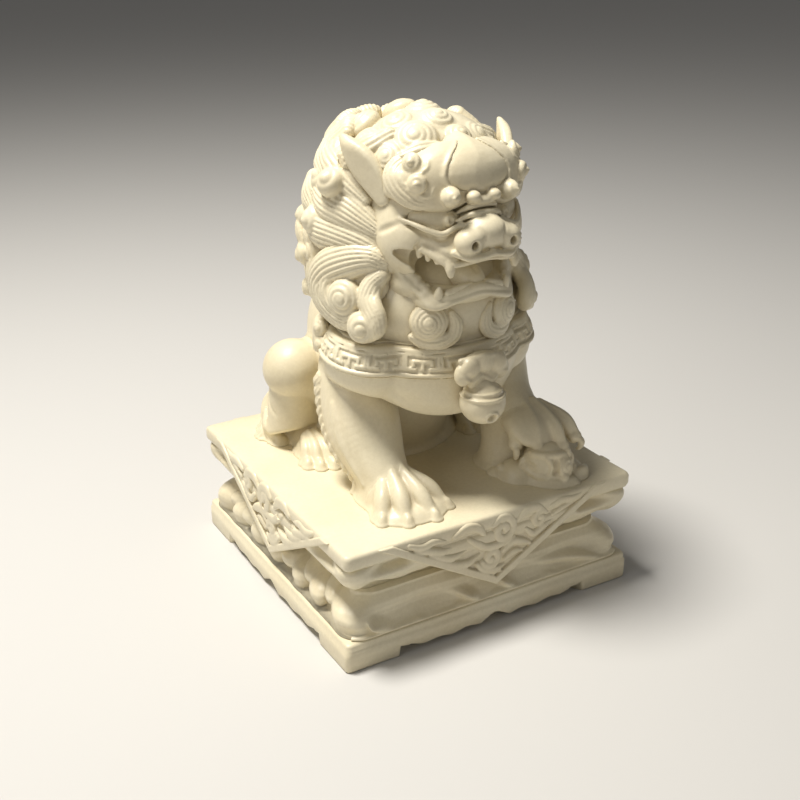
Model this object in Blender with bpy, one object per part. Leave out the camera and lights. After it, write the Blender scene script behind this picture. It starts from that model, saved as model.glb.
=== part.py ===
"""Seated guardian lion with a cub under its left paw, on a draped square pedestal.

World frame: +Z up, the lion faces -Y, its right-hand side is -X.
The origin is the middle of the pedestal's underside.
"""

import math

import bmesh
import bpy
from mathutils import Euler, Matrix, Vector

MM = 0.001

# Pedestal
PLINTH_WIDTH = 202 * MM
PLINTH_TOP = 17.6 * MM
FOOT_LENGTH = 34 * MM
APRON_RECESS_DEPTH = 7 * MM
APRON_LOW = 3 * MM
APRON_HIGH = 6.5 * MM
LOWER_TIER_TOP = 40 * MM
LOWER_TIER_WIDTH = 196 * MM
MOULDING_TOP = 64.4 * MM
MOULDING_WIDTH = 199 * MM
SLAB_WIDTH = 200 * MM
SLAB_TOP = 74 * MM
CORNER_RADIUS = 5 * MM
EDGE_BEVEL = 1 * MM
CLOTH_WIDTH = 162 * MM
CLOTH_TIP = 26.5 * MM
CLOTH_DEPTH = 7 * MM
CLOTH_PROUD = 1.2 * MM
CLOTH_BORDER = 4.5 * MM
CLOTH_RELIEF = 1.2 * MM

# Lion, key points on its right-hand side or on its middle plane
CHEST = Vector((0, -28, 152)) * MM
NECK = Vector((0, -14, 186)) * MM
BELLY = Vector((0, 16, 118)) * MM
BACK = Vector((0, 42, 145)) * MM
RUMP = Vector((0, 46, 96)) * MM
SHOULDER = Vector((-45, -22, 146)) * MM
ELBOW = Vector((-47, -27, 122)) * MM
WRIST = Vector((-45, -44, 86)) * MM
FORE_PAW = Vector((-43, -61, 80)) * MM
KNEE = Vector((-61, 42, 127)) * MM
HEEL = Vector((-60, 53, 88)) * MM
HIND_PAW = Vector((-59, 23, 81)) * MM
TAIL_ROOT = Vector((0, 82, 86)) * MM
TAIL_TIP = Vector((0, 76, 176)) * MM
SKULL = Vector((0, -36, 248)) * MM
MUZZLE = Vector((0, -64, 230)) * MM
CHIN = Vector((0, -52, 193)) * MM
NOSE = Vector((0, -84, 235)) * MM
EYE = Vector((-21, -70, 243)) * MM
BROW = Vector((-27, -64, 258)) * MM
FOREHEAD = Vector((0, -62, 270)) * MM
EAR = Vector((-47, -30, 265)) * MM
CROWN = Vector((0, -12, 276)) * MM
MANE_SIDE = Vector((-46, -2, 232)) * MM
MANE_SCROLL = Vector((-55, -27, 195)) * MM
MANE_DROP = Vector((-54, -44, 182)) * MM
MANE_BACK = Vector((0, 30, 224)) * MM
BEARD_CURL = Vector((-24, -62, 177)) * MM
BELL = Vector((0, -80, 136)) * MM
BELL_RADIUS = 13 * MM
COLLAR_CENTRE = Vector((0, -13, 162.5)) * MM
COLLAR_HALF_WIDTH = 59 * MM
COLLAR_HALF_LENGTH = 62 * MM
COLLAR_TILT = math.radians(3.5)
COLLAR_THICKNESS = 4 * MM
COLLAR_HEIGHT = 7 * MM
CUB = Vector((51, -71, 85)) * MM
RAISED_PAW = Vector((50, -69, 104)) * MM
RAISED_WRIST = Vector((48, -54, 106)) * MM

# Making
GAP = 0.3 * MM
CLEARANCE_SWELL = 0.5 * MM
SKIN_VOXEL = 1.6 * MM
SMOOTH_PASSES = 3
CHAIN_STEPS = 5

IVORY = (0.80, 0.72, 0.53, 1.0)
IVORY_ROUGHNESS = 0.38


def clear_scene():
    for item in list(bpy.data.objects):
        bpy.data.objects.remove(item, do_unlink=True)


def ivory(name, tone):
    """The one cast stone colour, a little lighter or darker by tone."""
    material = bpy.data.materials.new(name + "_ivory")
    material.use_nodes = True
    shader = material.node_tree.nodes["Principled BSDF"]
    colour = [channel * tone for channel in IVORY[:3]] + [1.0]
    shader.inputs["Base Color"].default_value = colour
    shader.inputs["Roughness"].default_value = IVORY_ROUGHNESS
    shader.inputs["Metallic"].default_value = 0.0
    material.diffuse_color = colour
    return material


def add_object(name, mesh):
    item = bpy.data.objects.new(name, mesh)
    bpy.context.scene.collection.objects.link(item)
    return item


def settle(item):
    """Turn an object's modifiers into its own mesh."""
    graph = bpy.context.evaluated_depsgraph_get()
    settled = bpy.data.meshes.new_from_object(item.evaluated_get(graph))
    item.modifiers.clear()
    item.data = settled


def bounds(item):
    points = [vertex.co for vertex in item.data.vertices]
    low = Vector([min(point[axis] for point in points) for axis in range(3)])
    high = Vector([max(point[axis] for point in points) for axis in range(3)])
    return low, high


def flip(point):
    return Vector((-point.x, point.y, point.z))


# Round lumps

def lump(centre, radii, turn=(0, 0, 0)):
    """An ellipsoid: centre in metres, radii in millimetres, turn in degrees."""
    spin = Euler([math.radians(angle) for angle in turn]).to_matrix().to_4x4()
    size = Matrix.Diagonal([radius * MM for radius in radii] + [1])
    return Matrix.Translation(centre) @ spin @ size


def chain(start, end, start_radius, end_radius):
    """Lumps in a row that swell or thin from one end to the other."""
    row = []
    for step in range(CHAIN_STEPS + 1):
        share = step / CHAIN_STEPS
        radius = start_radius + (end_radius - start_radius) * share
        row.append(lump(start.lerp(end, share), [radius] * 3))
    return row


def mirrored(lumps):
    """The same lumps on the lion's other side."""
    across = Matrix.Diagonal((-1, 1, 1, 1))
    return [across @ matrix @ across for matrix in lumps]


def off(point, x=0, y=0, z=0):
    return point + Vector((x, y, z)) * MM


def skin(name, lumps, triangles):
    """Fuse overlapping lumps under one smooth closed skin."""
    shape = bmesh.new()
    for matrix in lumps:
        bmesh.ops.create_icosphere(shape, subdivisions=3, radius=1, matrix=matrix)
    mesh = bpy.data.meshes.new(name)
    shape.to_mesh(mesh)
    shape.free()
    item = add_object(name, mesh)
    remesh = item.modifiers.new("fuse", "REMESH")
    remesh.mode = "VOXEL"
    remesh.voxel_size = SKIN_VOXEL
    smooth = item.modifiers.new("soften", "SMOOTH")
    smooth.iterations = SMOOTH_PASSES
    settle(item)
    facets = item.modifiers.new("simplify", "DECIMATE")
    facets.ratio = min(1.0, triangles / (2 * len(item.data.polygons)))
    facets.use_collapse_triangulate = True
    settle(item)
    item.data.shade_smooth()
    return item


# Square stacked shapes

def square_ring(shape, half_width, height):
    """One level of a rounded square, as a closed loop of vertices."""
    corner_steps = 4
    inner = half_width - CORNER_RADIUS
    ring = []
    for quarter in range(4):
        heading = quarter * math.pi / 2 + math.pi / 4
        corner = Vector((math.cos(heading), math.sin(heading))) * inner * math.sqrt(2)
        for step in range(corner_steps + 1):
            angle = quarter * math.pi / 2 + step * math.pi / 2 / corner_steps
            x = corner.x + CORNER_RADIUS * math.cos(angle)
            y = corner.y + CORNER_RADIUS * math.sin(angle)
            ring.append(shape.verts.new((x, y, height)))
    return ring


def square_stack(name, levels):
    """A square solid whose half width changes with height."""
    shape = bmesh.new()
    rings = [square_ring(shape, half_width, height) for half_width, height in levels]
    for below, above in zip(rings, rings[1:]):
        for index in range(len(below)):
            after = (index + 1) % len(below)
            shape.faces.new((below[index], below[after], above[after], above[index]))
    shape.faces.new(list(reversed(rings[0])))
    shape.faces.new(rings[-1])
    bmesh.ops.recalc_face_normals(shape, faces=shape.faces)
    mesh = bpy.data.meshes.new(name)
    shape.to_mesh(mesh)
    shape.free()
    return add_object(name, mesh)


def bevelled_levels(half_width, bottom, top):
    """A straight side with a small bevel at its top and bottom edge."""
    return [
        (half_width - EDGE_BEVEL, bottom),
        (half_width, bottom + EDGE_BEVEL),
        (half_width, top - EDGE_BEVEL),
        (half_width - EDGE_BEVEL, top),
    ]


def prism(name, outline, start, end):
    """Push an outline in the X-Z plane along Y, from start to end."""
    shape = bmesh.new()
    near = [shape.verts.new((x, start, z)) for x, z in outline]
    face = shape.faces.new(near)
    swept = bmesh.ops.extrude_face_region(shape, geom=[face])
    moved = [part for part in swept["geom"] if isinstance(part, bmesh.types.BMVert)]
    bmesh.ops.translate(shape, verts=moved, vec=(0, end - start, 0))
    bmesh.ops.recalc_face_normals(shape, faces=shape.faces)
    mesh = bpy.data.meshes.new(name)
    shape.to_mesh(mesh)
    shape.free()
    return add_object(name, mesh)


def turn_about_z(item, quarter_turns):
    item.data.transform(Matrix.Rotation(quarter_turns * math.pi / 2, 4, "Z"))


# Pedestal parts

def apron_outline():
    """The cut under one side: high beside each foot and in the middle."""
    reach = PLINTH_WIDTH / 2 - FOOT_LENGTH
    steps = 24
    outline = [(-reach, -GAP), (reach, -GAP)]
    for step in range(steps + 1):
        share = 1 - 2 * step / steps
        near_foot = max(0.0, abs(share) - 0.6) / 0.4
        near_middle = max(0.0, 0.12 - abs(share)) / 0.12
        lift = math.sin(near_foot * math.pi / 2) + math.sin(near_middle * math.pi / 2)
        outline.append((share * reach, APRON_LOW + (APRON_HIGH - APRON_LOW) * lift))
    return outline


def build_plinth():
    plinth = square_stack("plinth", bevelled_levels(PLINTH_WIDTH / 2, 0, PLINTH_TOP - GAP))
    face = -PLINTH_WIDTH / 2
    for side in range(4):
        cutter = prism("apron_cutter", apron_outline(), face - GAP, face + APRON_RECESS_DEPTH)
        turn_about_z(cutter, side)
        carve(plinth, cutter)
    return plinth


def build_lower_tier():
    """The swelling rock course between the plinth and the waist."""
    steps = 8
    bottom = PLINTH_TOP
    height = LOWER_TIER_TOP - GAP - bottom
    swell = 8 * MM
    levels = []
    for step in range(steps + 1):
        share = step / steps
        angle = math.pi * (0.15 + 0.6 * share)
        half_width = LOWER_TIER_WIDTH / 2 - swell * (1 - math.sin(angle)) * 1.6
        levels.append((half_width, bottom + height * share))
    return square_stack("lower_tier", levels)


def build_moulding():
    """The rounded moulding that flares from the waist up to the slab."""
    steps = 8
    bottom = LOWER_TIER_TOP
    height = MOULDING_TOP - GAP - bottom
    undercut = 12 * MM
    levels = []
    for step in range(steps + 1):
        share = step / steps
        half_width = MOULDING_WIDTH / 2 - undercut * (1 - math.sin(math.pi / 2 * share)) ** 1.5
        levels.append((half_width, bottom + height * share))
    return square_stack("upper_moulding", levels)


def build_slab():
    return square_stack("top_slab", bevelled_levels(SLAB_WIDTH / 2, MOULDING_TOP, SLAB_TOP))


def build_cloth_panel(side_name, side):
    """A pointed cloth corner hanging over one side, with a raised border."""
    half = CLOTH_WIDTH / 2
    outline = [(-half, SLAB_TOP), (half, SLAB_TOP), (0, CLOTH_TIP)]
    face = -SLAB_WIDTH / 2 - CLOTH_PROUD
    panel = prism("cloth_panel_" + side_name, outline, face, face + CLOTH_DEPTH)
    shape = bmesh.new()
    shape.from_mesh(panel.data)
    shape.faces.ensure_lookup_table()
    front = min(shape.faces, key=lambda each: each.calc_center_median().y)
    bmesh.ops.inset_individual(shape, faces=[front], thickness=CLOTH_BORDER, depth=0)
    bmesh.ops.inset_individual(shape, faces=[front], thickness=GAP, depth=-CLOTH_RELIEF)
    shape.to_mesh(panel.data)
    shape.free()
    turn_about_z(panel, side)
    return panel


# Lion parts

def torso_lumps():
    return [
        lump(CHEST, (54, 45, 37)),
        lump(NECK, (52, 47, 40)),
        lump(BELLY, (42, 46, 50)),
        lump(BACK, (50, 44, 54)),
        lump(RUMP, (48, 40, 34)),
    ]


def foreleg_lumps():
    upper = chain(SHOULDER, ELBOW, 27, 23)
    lower = chain(ELBOW, WRIST, 23, 16)
    foot = [lump(off(WRIST, z=-6), (17, 17, 12))]
    return upper + lower + foot


def raised_foreleg_lumps():
    """The left foreleg: its wrist is lifted, with a rock fill down to the slab."""
    upper = chain(flip(SHOULDER), flip(ELBOW), 27, 22)
    lower = chain(flip(ELBOW), RAISED_WRIST, 22, 16)
    fill = chain(off(RAISED_WRIST, y=6, z=-6), off(RAISED_WRIST, y=8, z=-28), 15, 17)
    return upper + lower + fill


def toes(paw, spread, length, radius):
    """Four rounded toes fanned across the front of a paw."""
    fan = []
    for place in (-1.5, -0.5, 0.5, 1.5):
        tip = off(paw, x=place * spread, y=-length + abs(place) * 2, z=-3)
        fan += chain(off(paw, x=place * spread * 0.8, z=1), tip, radius, radius * 0.85)
    return fan


def fore_paw_lumps():
    palm = [lump(off(FORE_PAW, y=3), (19, 17, 12))]
    return palm + toes(FORE_PAW, spread=12.5, length=21, radius=6)


def raised_paw_lumps():
    palm = [lump(off(RAISED_PAW, y=6), (17, 17, 11), (12, 0, 0))]
    fingers = []
    for place in (-1.5, -0.5, 0.5, 1.5):
        knuckle = off(RAISED_PAW, x=place * 9, y=-8, z=2)
        claw = off(RAISED_PAW, x=place * 10, y=-19, z=-14)
        fingers += chain(knuckle, claw, 6.5, 4)
    return palm + fingers


def cub_lumps():
    body = lump(CUB, (17, 15, 12))
    head = lump(off(CUB, x=-15, y=2, z=-3), (11, 10, 9))
    hind = lump(off(CUB, x=17, y=0, z=-5), (10, 10, 7))
    forefeet = chain(off(CUB, x=-10, y=-12, z=-6), off(CUB, x=6, y=-16, z=-7), 5, 4)
    return [body, head, hind] + forefeet


def hind_leg_lumps():
    knee = lump(KNEE, (18, 18, 18))
    thigh = lump(off(KNEE, x=12, y=8, z=-4), (25, 29, 27))
    shank = chain(KNEE, HEEL, 17, 16)
    return [knee, thigh] + shank


def hind_paw_lumps():
    sole = [lump(off(HIND_PAW, y=6), (13, 24, 10))]
    return sole + toes(HIND_PAW, spread=6.5, length=19, radius=5)


def tail_lumps():
    middle = off(TAIL_ROOT.lerp(TAIL_TIP, 0.45), y=3)
    lower = chain(TAIL_ROOT, middle, 12, 14)
    upper = chain(middle, TAIL_TIP, 14, 5)
    sides = [lump(off(middle, x=-13, z=-14), (9, 9, 16), (0, -20, 0))]
    return lower + upper + sides + mirrored(sides)


def head_lumps():
    cheek = lump(off(SKULL, x=-27, y=-12, z=-20), (16, 24, 20))
    upper_lip = lump(off(MUZZLE, x=-15, y=-3, z=-8), (14, 18, 8))
    return [
        lump(SKULL, (42, 40, 36)),
        lump(MUZZLE, (27, 20, 16)),
        cheek,
        upper_lip,
    ] + mirrored([cheek, upper_lip])


def nose_lumps():
    wing = lump(off(NOSE, x=-12, y=1, z=-3), (8, 7, 7))
    bridge = chain(NOSE, off(NOSE, y=16, z=12), 8, 6)
    return [wing] + mirrored([wing]) + bridge


def jaw_lumps():
    corner = lump(off(CHIN, x=-19, y=-8), (9, 12, 9))
    back = lump(off(CHIN, x=-22, y=12, z=7), (10, 18, 12))
    middle = lump(off(CHIN, y=-4, z=-3), (24, 19, 7))
    return [corner, back, middle] + mirrored([corner, back])


def tongue_lumps():
    return chain(off(CHIN, y=6, z=9), off(CHIN, y=-12, z=8), 7, 5)


def tooth_lumps(height, point):
    """One fang and the two small teeth beside it, on the right-hand side."""
    fang_root = off(CHIN, x=-21, y=-16, z=height)
    fang = chain(fang_root, off(fang_root, z=point), 3.4, 1.8)
    for place in (1, 2):
        root = off(fang_root, x=-place * 1.5, y=place * 7)
        fang += chain(root, off(root, z=point / 2), 3.2, 2.4)
    return fang


def brow_lumps():
    plate = lump(BROW, (19, 14, 9), (20, 0, -18))
    spiral = lump(off(BROW, x=-8, y=8, z=10), (9, 8, 7))
    bump = lump(off(BROW, x=13, y=-9, z=-1), (7, 6, 6))
    return [plate, spiral, bump]


def ear_lumps():
    lean = (-28, -6, 0)
    leaf = lump(EAR, (6, 11, 17), lean)
    tip = chain(off(EAR, x=-1, y=4, z=6), off(EAR, x=-3, y=13, z=18), 7, 2.5)
    return [leaf] + tip


def crown_lumps():
    """Rows of snail curls over the top of the head."""
    curls = [lump(CROWN, (36, 32, 18))]
    for row in range(3):
        for place in range(-2, 3):
            side = place * 14
            back = -16 + row * 17 + abs(place) * 4
            rise = 14 - abs(place) * 4 - row * 2
            curls.append(lump(off(CROWN, x=side, y=back, z=rise), (8.5, 8.5, 8)))
    return curls


def mane_side_lumps():
    """Overlapping locks that fall from behind the ear to the shoulder."""
    upper = lump(off(MANE_SIDE, x=2, y=-4, z=22), (17, 24, 20))
    middle = lump(MANE_SIDE, (20, 28, 20))
    lower = lump(off(MANE_SIDE, x=1, y=8, z=-24), (20, 28, 20))
    fringe = [
        lump(off(MANE_SIDE, x=-11, y=-10, z=24), (8, 9, 8)),
        lump(off(MANE_SIDE, x=-16, y=5, z=1), (8, 9, 8)),
        lump(off(MANE_SIDE, x=-15, y=18, z=-22), (8, 9, 8)),
    ]
    return [upper, middle, lower] + fringe


def scroll_lumps():
    scroll = lump(MANE_SCROLL, (11, 17, 17))
    fall = lump(off(MANE_SCROLL, x=2, y=12, z=9), (12, 18, 15))
    return [scroll, fall] + chain(off(MANE_DROP, z=10), MANE_DROP, 8, 9)


def mane_back_lumps():
    """Three tiers of heavy curls down the nape."""
    tiers = [lump(MANE_BACK, (48, 38, 54))]
    for tier in range(3):
        for place in (-1.5, -0.5, 0.5, 1.5):
            spot = off(MANE_BACK, x=place * 22, y=31 - abs(place) * 11, z=28 - tier * 26)
            tiers.append(lump(spot, (12, 10, 13)))
    return tiers


def beard_lumps():
    return [lump(BEARD_CURL, (12, 8, 11))]


def plate_lumps():
    middle = Vector((0, -79, 155)) * MM
    leaves = [lump(middle, (13, 5, 9))]
    for place in (-1, 0, 1):
        leaves.append(lump(off(middle, x=place * 10, y=-1, z=-5), (6, 4, 7)))
    return leaves


def bell_lumps():
    loop = lump(off(BELL, y=1, z=11), (8, 7, 5))
    return [lump(BELL, [BELL_RADIUS / MM] * 3), loop]


def collar_point(angle, across, along):
    """A point of the tilted oval band, moved across or along its section."""
    x = (COLLAR_HALF_WIDTH + across) * math.cos(angle)
    y = (COLLAR_HALF_LENGTH + across) * math.sin(angle)
    tilt = Matrix.Rotation(COLLAR_TILT, 3, "X")
    return COLLAR_CENTRE + tilt @ Vector((x, -y, along))


def build_collar():
    """A flat oval band with a raised rim along each edge."""
    around = 40
    half = COLLAR_HEIGHT
    rim = 1.2 * MM
    inner = -COLLAR_THICKNESS
    section = [
        (inner, -half), (rim, -half), (rim, -half + 3 * MM), (0, -half + 3 * MM),
        (0, half - 3 * MM), (rim, half - 3 * MM), (rim, half), (inner, half),
    ]
    shape = bmesh.new()
    rings = []
    for step in range(around):
        angle = 2 * math.pi * step / around
        points = [collar_point(angle, across, along) for across, along in section]
        rings.append([shape.verts.new(point) for point in points])
    for step in range(around):
        here, there = rings[step], rings[(step + 1) % around]
        for index in range(len(section)):
            after = (index + 1) % len(section)
            shape.faces.new((here[index], here[after], there[after], there[index]))
    bmesh.ops.recalc_face_normals(shape, faces=shape.faces)
    mesh = bpy.data.meshes.new("collar")
    shape.to_mesh(mesh)
    shape.free()
    return add_object("collar", mesh)


# Fitting the parts together

def carve(piece, cutter):
    """Take the cutter's volume out of a piece, then discard the cutter."""
    cut = piece.modifiers.new("carve", "BOOLEAN")
    cut.operation = "DIFFERENCE"
    cut.solver = "EXACT"
    cut.object = cutter
    cutter.hide_render = True
    cutter.display_type = "WIRE"
    settle(piece)
    bpy.data.objects.remove(cutter, do_unlink=True)


def grown_copy(item):
    """A copy swollen by the gap, so that neighbours stay just apart."""
    cutter = add_object(item.name + "_clearance", item.data.copy())
    swell = cutter.modifiers.new("swell", "DISPLACE")
    swell.strength = CLEARANCE_SWELL
    swell.mid_level = 0
    settle(cutter)
    return cutter


def boxes_meet(first, second):
    low_a, high_a = bounds(first)
    low_b, high_b = bounds(second)
    reach = 2 * GAP
    apart = [low_a[axis] > high_b[axis] + reach or low_b[axis] > high_a[axis] + reach
             for axis in range(3)]
    return not any(apart)


def keep_main_body(item):
    """Drop the slivers a cut leaves behind and keep the one real body."""
    shape = bmesh.new()
    shape.from_mesh(item.data)
    bmesh.ops.remove_doubles(shape, verts=shape.verts, dist=0.01 * MM)
    waiting = set(shape.verts)
    bodies = []
    while waiting:
        front = [waiting.pop()]
        body = set(front)
        while front:
            vertex = front.pop()
            for edge in vertex.link_edges:
                other = edge.other_vert(vertex)
                if other in waiting:
                    waiting.discard(other)
                    body.add(other)
                    front.append(other)
        bodies.append(body)
    main = max(bodies, key=len)
    scraps = [vertex for vertex in shape.verts if vertex not in main]
    bmesh.ops.delete(shape, geom=scraps, context="VERTS")
    shape.to_mesh(item.data)
    shape.free()


def fit_together(pieces):
    """Each piece gives way to every whole piece listed before it."""
    whole = [add_object(piece.name + "_whole", piece.data.copy()) for piece in pieces]
    for place, piece in enumerate(pieces):
        for earlier in whole[:place]:
            if boxes_meet(piece, earlier):
                carve(piece, grown_copy(earlier))
        keep_main_body(piece)
    for spare in whole:
        bpy.data.objects.remove(spare, do_unlink=True)


def build_pair(name, lumps, triangles):
    right = skin("right_" + name, lumps, triangles)
    left = skin("left_" + name, mirrored(lumps), triangles)
    return [right, left]


def build_pedestal():
    panels = [build_cloth_panel(name, side)
              for side, name in enumerate(("front", "left", "back", "right"))]
    return panels + [build_slab(), build_moulding(), build_lower_tier(), build_plinth()]


def build_body():
    return [
        skin("bell", bell_lumps(), 180),
        skin("collar_plate", plate_lumps(), 160),
        build_collar(),
        skin("cub", cub_lumps(), 240),
        skin("right_fore_paw", fore_paw_lumps(), 280),
        skin("left_fore_paw", raised_paw_lumps(), 280),
    ] + build_pair("hind_paw", hind_paw_lumps(), 180) + [
        skin("right_foreleg", foreleg_lumps(), 200),
        skin("left_foreleg", raised_foreleg_lumps(), 200),
    ] + build_pair("hind_leg", hind_leg_lumps(), 200) + [
        skin("tail", tail_lumps(), 200),
        skin("torso", torso_lumps(), 400),
    ]


def build_head():
    return build_pair("eye", [lump(EYE, (5.5, 5.5, 5.5))], 60) \
        + build_pair("upper_teeth", tooth_lumps(24, -6), 90) \
        + build_pair("lower_teeth", tooth_lumps(8, 5), 90) \
        + [skin("tongue", tongue_lumps(), 90), skin("nose", nose_lumps(), 180)] \
        + build_pair("brow", brow_lumps(), 160) \
        + build_pair("ear", ear_lumps(), 110) \
        + [skin("forehead", [lump(FOREHEAD, (15, 9, 12), (-20, 0, 0))], 90)] \
        + build_pair("beard_curl", beard_lumps(), 80) \
        + build_pair("mane_scroll", scroll_lumps(), 160) \
        + [skin("crown_curls", crown_lumps(), 460)] \
        + build_pair("mane_side", mane_side_lumps(), 240) \
        + [skin("lower_jaw", jaw_lumps(), 320), skin("head", head_lumps(), 360),
           skin("mane_back", mane_back_lumps(), 420)]


def finish(pieces):
    """Give every piece its own cast material, alternately a shade apart."""
    for place, piece in enumerate(pieces):
        tone = 1.0 - 0.03 * (place % 3)
        piece.data.materials.clear()
        piece.data.materials.append(ivory(piece.name, tone))


def main():
    clear_scene()
    pieces = build_pedestal() + build_head() + build_body()
    fit_together(pieces)
    finish(pieces)


main()
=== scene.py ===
"""The looks of a seated guardian lion in ivory cast stone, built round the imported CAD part.

Millimetres are used for shaping, in the CAD's own frame: +Z up, the lion faces -Y,
and its right-hand side is -X. Every shaped piece stands for the CAD node of its name.
"""

import math
from collections import namedtuple
from concurrent.futures import ThreadPoolExecutor

import bmesh
import bpy
import numpy as np
from mathutils import Euler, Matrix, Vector


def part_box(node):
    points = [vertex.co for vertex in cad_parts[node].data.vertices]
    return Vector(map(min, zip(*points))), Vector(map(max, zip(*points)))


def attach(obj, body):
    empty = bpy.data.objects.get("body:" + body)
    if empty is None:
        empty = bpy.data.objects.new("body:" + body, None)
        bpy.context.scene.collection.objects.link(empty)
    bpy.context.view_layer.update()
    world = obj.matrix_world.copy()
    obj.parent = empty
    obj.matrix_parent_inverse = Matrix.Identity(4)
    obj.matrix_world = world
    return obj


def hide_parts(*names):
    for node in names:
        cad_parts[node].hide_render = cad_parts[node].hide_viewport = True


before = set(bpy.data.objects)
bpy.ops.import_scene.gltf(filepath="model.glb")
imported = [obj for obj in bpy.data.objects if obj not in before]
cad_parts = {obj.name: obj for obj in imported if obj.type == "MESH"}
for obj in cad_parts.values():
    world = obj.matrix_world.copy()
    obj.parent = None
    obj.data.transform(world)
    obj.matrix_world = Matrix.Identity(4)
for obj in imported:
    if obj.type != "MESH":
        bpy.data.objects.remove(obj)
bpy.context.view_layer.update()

MM = 0.001
FAR = 1000.0
REACH = 5.0
STEP = 0.7
SLAB_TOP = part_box("top_slab")[1].z / MM
SLAB_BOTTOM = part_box("top_slab")[0].z / MM
PLINTH_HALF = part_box("plinth")[1].x / MM
SLAB_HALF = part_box("top_slab")[1].x / MM
PANEL_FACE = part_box("cloth_panel_front")[0].y / MM
PANEL_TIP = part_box("cloth_panel_front")[0].z / MM
PANEL_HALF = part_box("cloth_panel_front")[1].x / MM

GROOVE_LIFT = 0.325
RIDGE_SINK = 0.3

Stroke = namedtuple("Stroke", "low high distance")


# Shaping tools: distance fields on a lattice

class Lattice:
    """Evenly spaced points that shapes are measured on."""

    def __init__(self, low, high, step):
        self.step = step
        self.low = np.array(low, float)
        self.size = [int(round((high[axis] - low[axis]) / step)) + 1 for axis in range(3)]

    def span(self, low, high):
        """The first and last index, on each axis, of the points in a box."""
        first = [max(0, int((low[a] - self.low[a]) / self.step)) for a in range(3)]
        last = [min(self.size[a], int((high[a] - self.low[a]) / self.step) + 2) for a in range(3)]
        return first, last

    def axes(self, first, last):
        lines = [self.low[a] + self.step * np.arange(first[a], last[a]) for a in range(3)]
        x, y, z = [line.astype(np.float32) for line in lines]
        return x[:, None, None], y[None, :, None], z[None, None, :]


def soft_min(a, b, k):
    """The smaller of two fields, rounded where they are within k of each other."""
    if k <= 0:
        return np.minimum(a, b)
    near = np.maximum(k - np.abs(a - b), 0)
    return np.minimum(a, b) - near * near / (4 * k)


def soft_max(a, b, k):
    return -soft_min(-a, -b, k)


class Carving:
    """One piece of the statue while it is being shaped."""

    def __init__(self, name, lattice, low, high):
        self.name = name
        self.lattice = lattice
        self.first, self.last = lattice.span(low, high)
        shape = [b - a for a, b in zip(self.first, self.last)]
        self.field = np.full(shape, FAR, np.float32)

    def axes(self):
        return self.lattice.axes(self.first, self.last)

    def window(self, stroke, margin):
        low = [v - margin for v in stroke.low]
        high = [v + margin for v in stroke.high]
        first, last = self.lattice.span(low, high)
        first = [max(a, b) for a, b in zip(first, self.first)]
        last = [min(a, b) for a, b in zip(last, self.last)]
        if any(b <= a for a, b in zip(first, last)):
            return None
        place = tuple(slice(a - s, b - s) for a, b, s in zip(first, last, self.first))
        return place, self.lattice.axes(first, last)

    def merge(self, stroke, k, both, sign):
        """The stroke joined softly where sign is 1, or taken away where it is -1."""
        found = self.window(stroke, REACH + k)
        if found:
            place, axes = found
            self.field[place] = sign * soft_min(sign * self.field[place], stroke.distance(*axes), k)
        if both:
            self.merge(mirror(stroke), k, False, sign)

    def add(self, stroke, k=0.0, both=False):
        self.merge(stroke, k, both, 1)

    def cut(self, stroke, k=0.0, both=False):
        self.merge(stroke, k, both, -1)

    def balls(self, *rows):
        """Round masses, each joined to those before it, from rows of centre, radii and softness."""
        for centre, radii, k in rows:
            self.add(ball(centre, radii), k)

    def trim(self, field, k):
        """Take away what lies where a field is positive."""
        self.field = soft_max(self.field, field.astype(np.float32), k)

    def join(self, other, k):
        """Join a carving that has the same room."""
        self.field = soft_min(self.field, other.field, k)

    def cling(self, points, lift=0.0):
        """The same points moved on to the surface, or lifted off it."""
        spots = np.array(points, float)
        limit = np.array(self.field.shape) - 2
        for _ in range(10):
            index = (spots - self.lattice.low) / self.lattice.step - self.first
            index = np.clip(np.rint(index).astype(int), 1, limit)
            i, j, k = index.T
            field = self.field
            slope = np.stack([
                field[i + 1, j, k] - field[i - 1, j, k],
                field[i, j + 1, k] - field[i, j - 1, k],
                field[i, j, k + 1] - field[i, j, k - 1],
            ], 1) / (2 * self.lattice.step)
            centre = (index + self.first) * self.lattice.step + self.lattice.low
            value = field[i, j, k] + ((spots - centre) * slope).sum(1)
            size = np.maximum((slope * slope).sum(1), 0.25)
            move = (value - lift) / size
            spots -= np.clip(move, -3, 3)[:, None] * slope
        return spots

    def groove(self, points, width, k=0.6, both=False):
        """A line cut into the surface, thinning at both ends."""
        path = self.cling(curve(points), width * GROOVE_LIFT)
        self.cut(rod(path, taper(len(path), width), smooth=False), k, both)

    def ridge(self, points, width, k=1.0, both=False):
        """A raised line along the surface, thinning at both ends."""
        path = self.cling(curve(points), -width * RIDGE_SINK)
        self.add(rod(path, taper(len(path), width), smooth=False), k, both)

    def flipped(self, name):
        """The same piece on the lion's other side."""
        twin = Carving.__new__(Carving)
        twin.name = name
        twin.lattice = self.lattice
        count = self.lattice.size[0]
        twin.first = [count - self.last[0]] + list(self.first[1:])
        twin.last = [count - self.first[0]] + list(self.last[1:])
        twin.field = self.field[::-1].copy()
        return twin


def taper(count, width):
    share = np.linspace(-1, 1, count)
    return width * (0.45 + 0.55 * (1 - share ** 4))


def mirror(stroke):
    low = (-stroke.high[0], stroke.low[1], stroke.low[2])
    high = (-stroke.low[0], stroke.high[1], stroke.high[2])
    return Stroke(low, high, lambda x, y, z: stroke.distance(-x, y, z))


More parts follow.
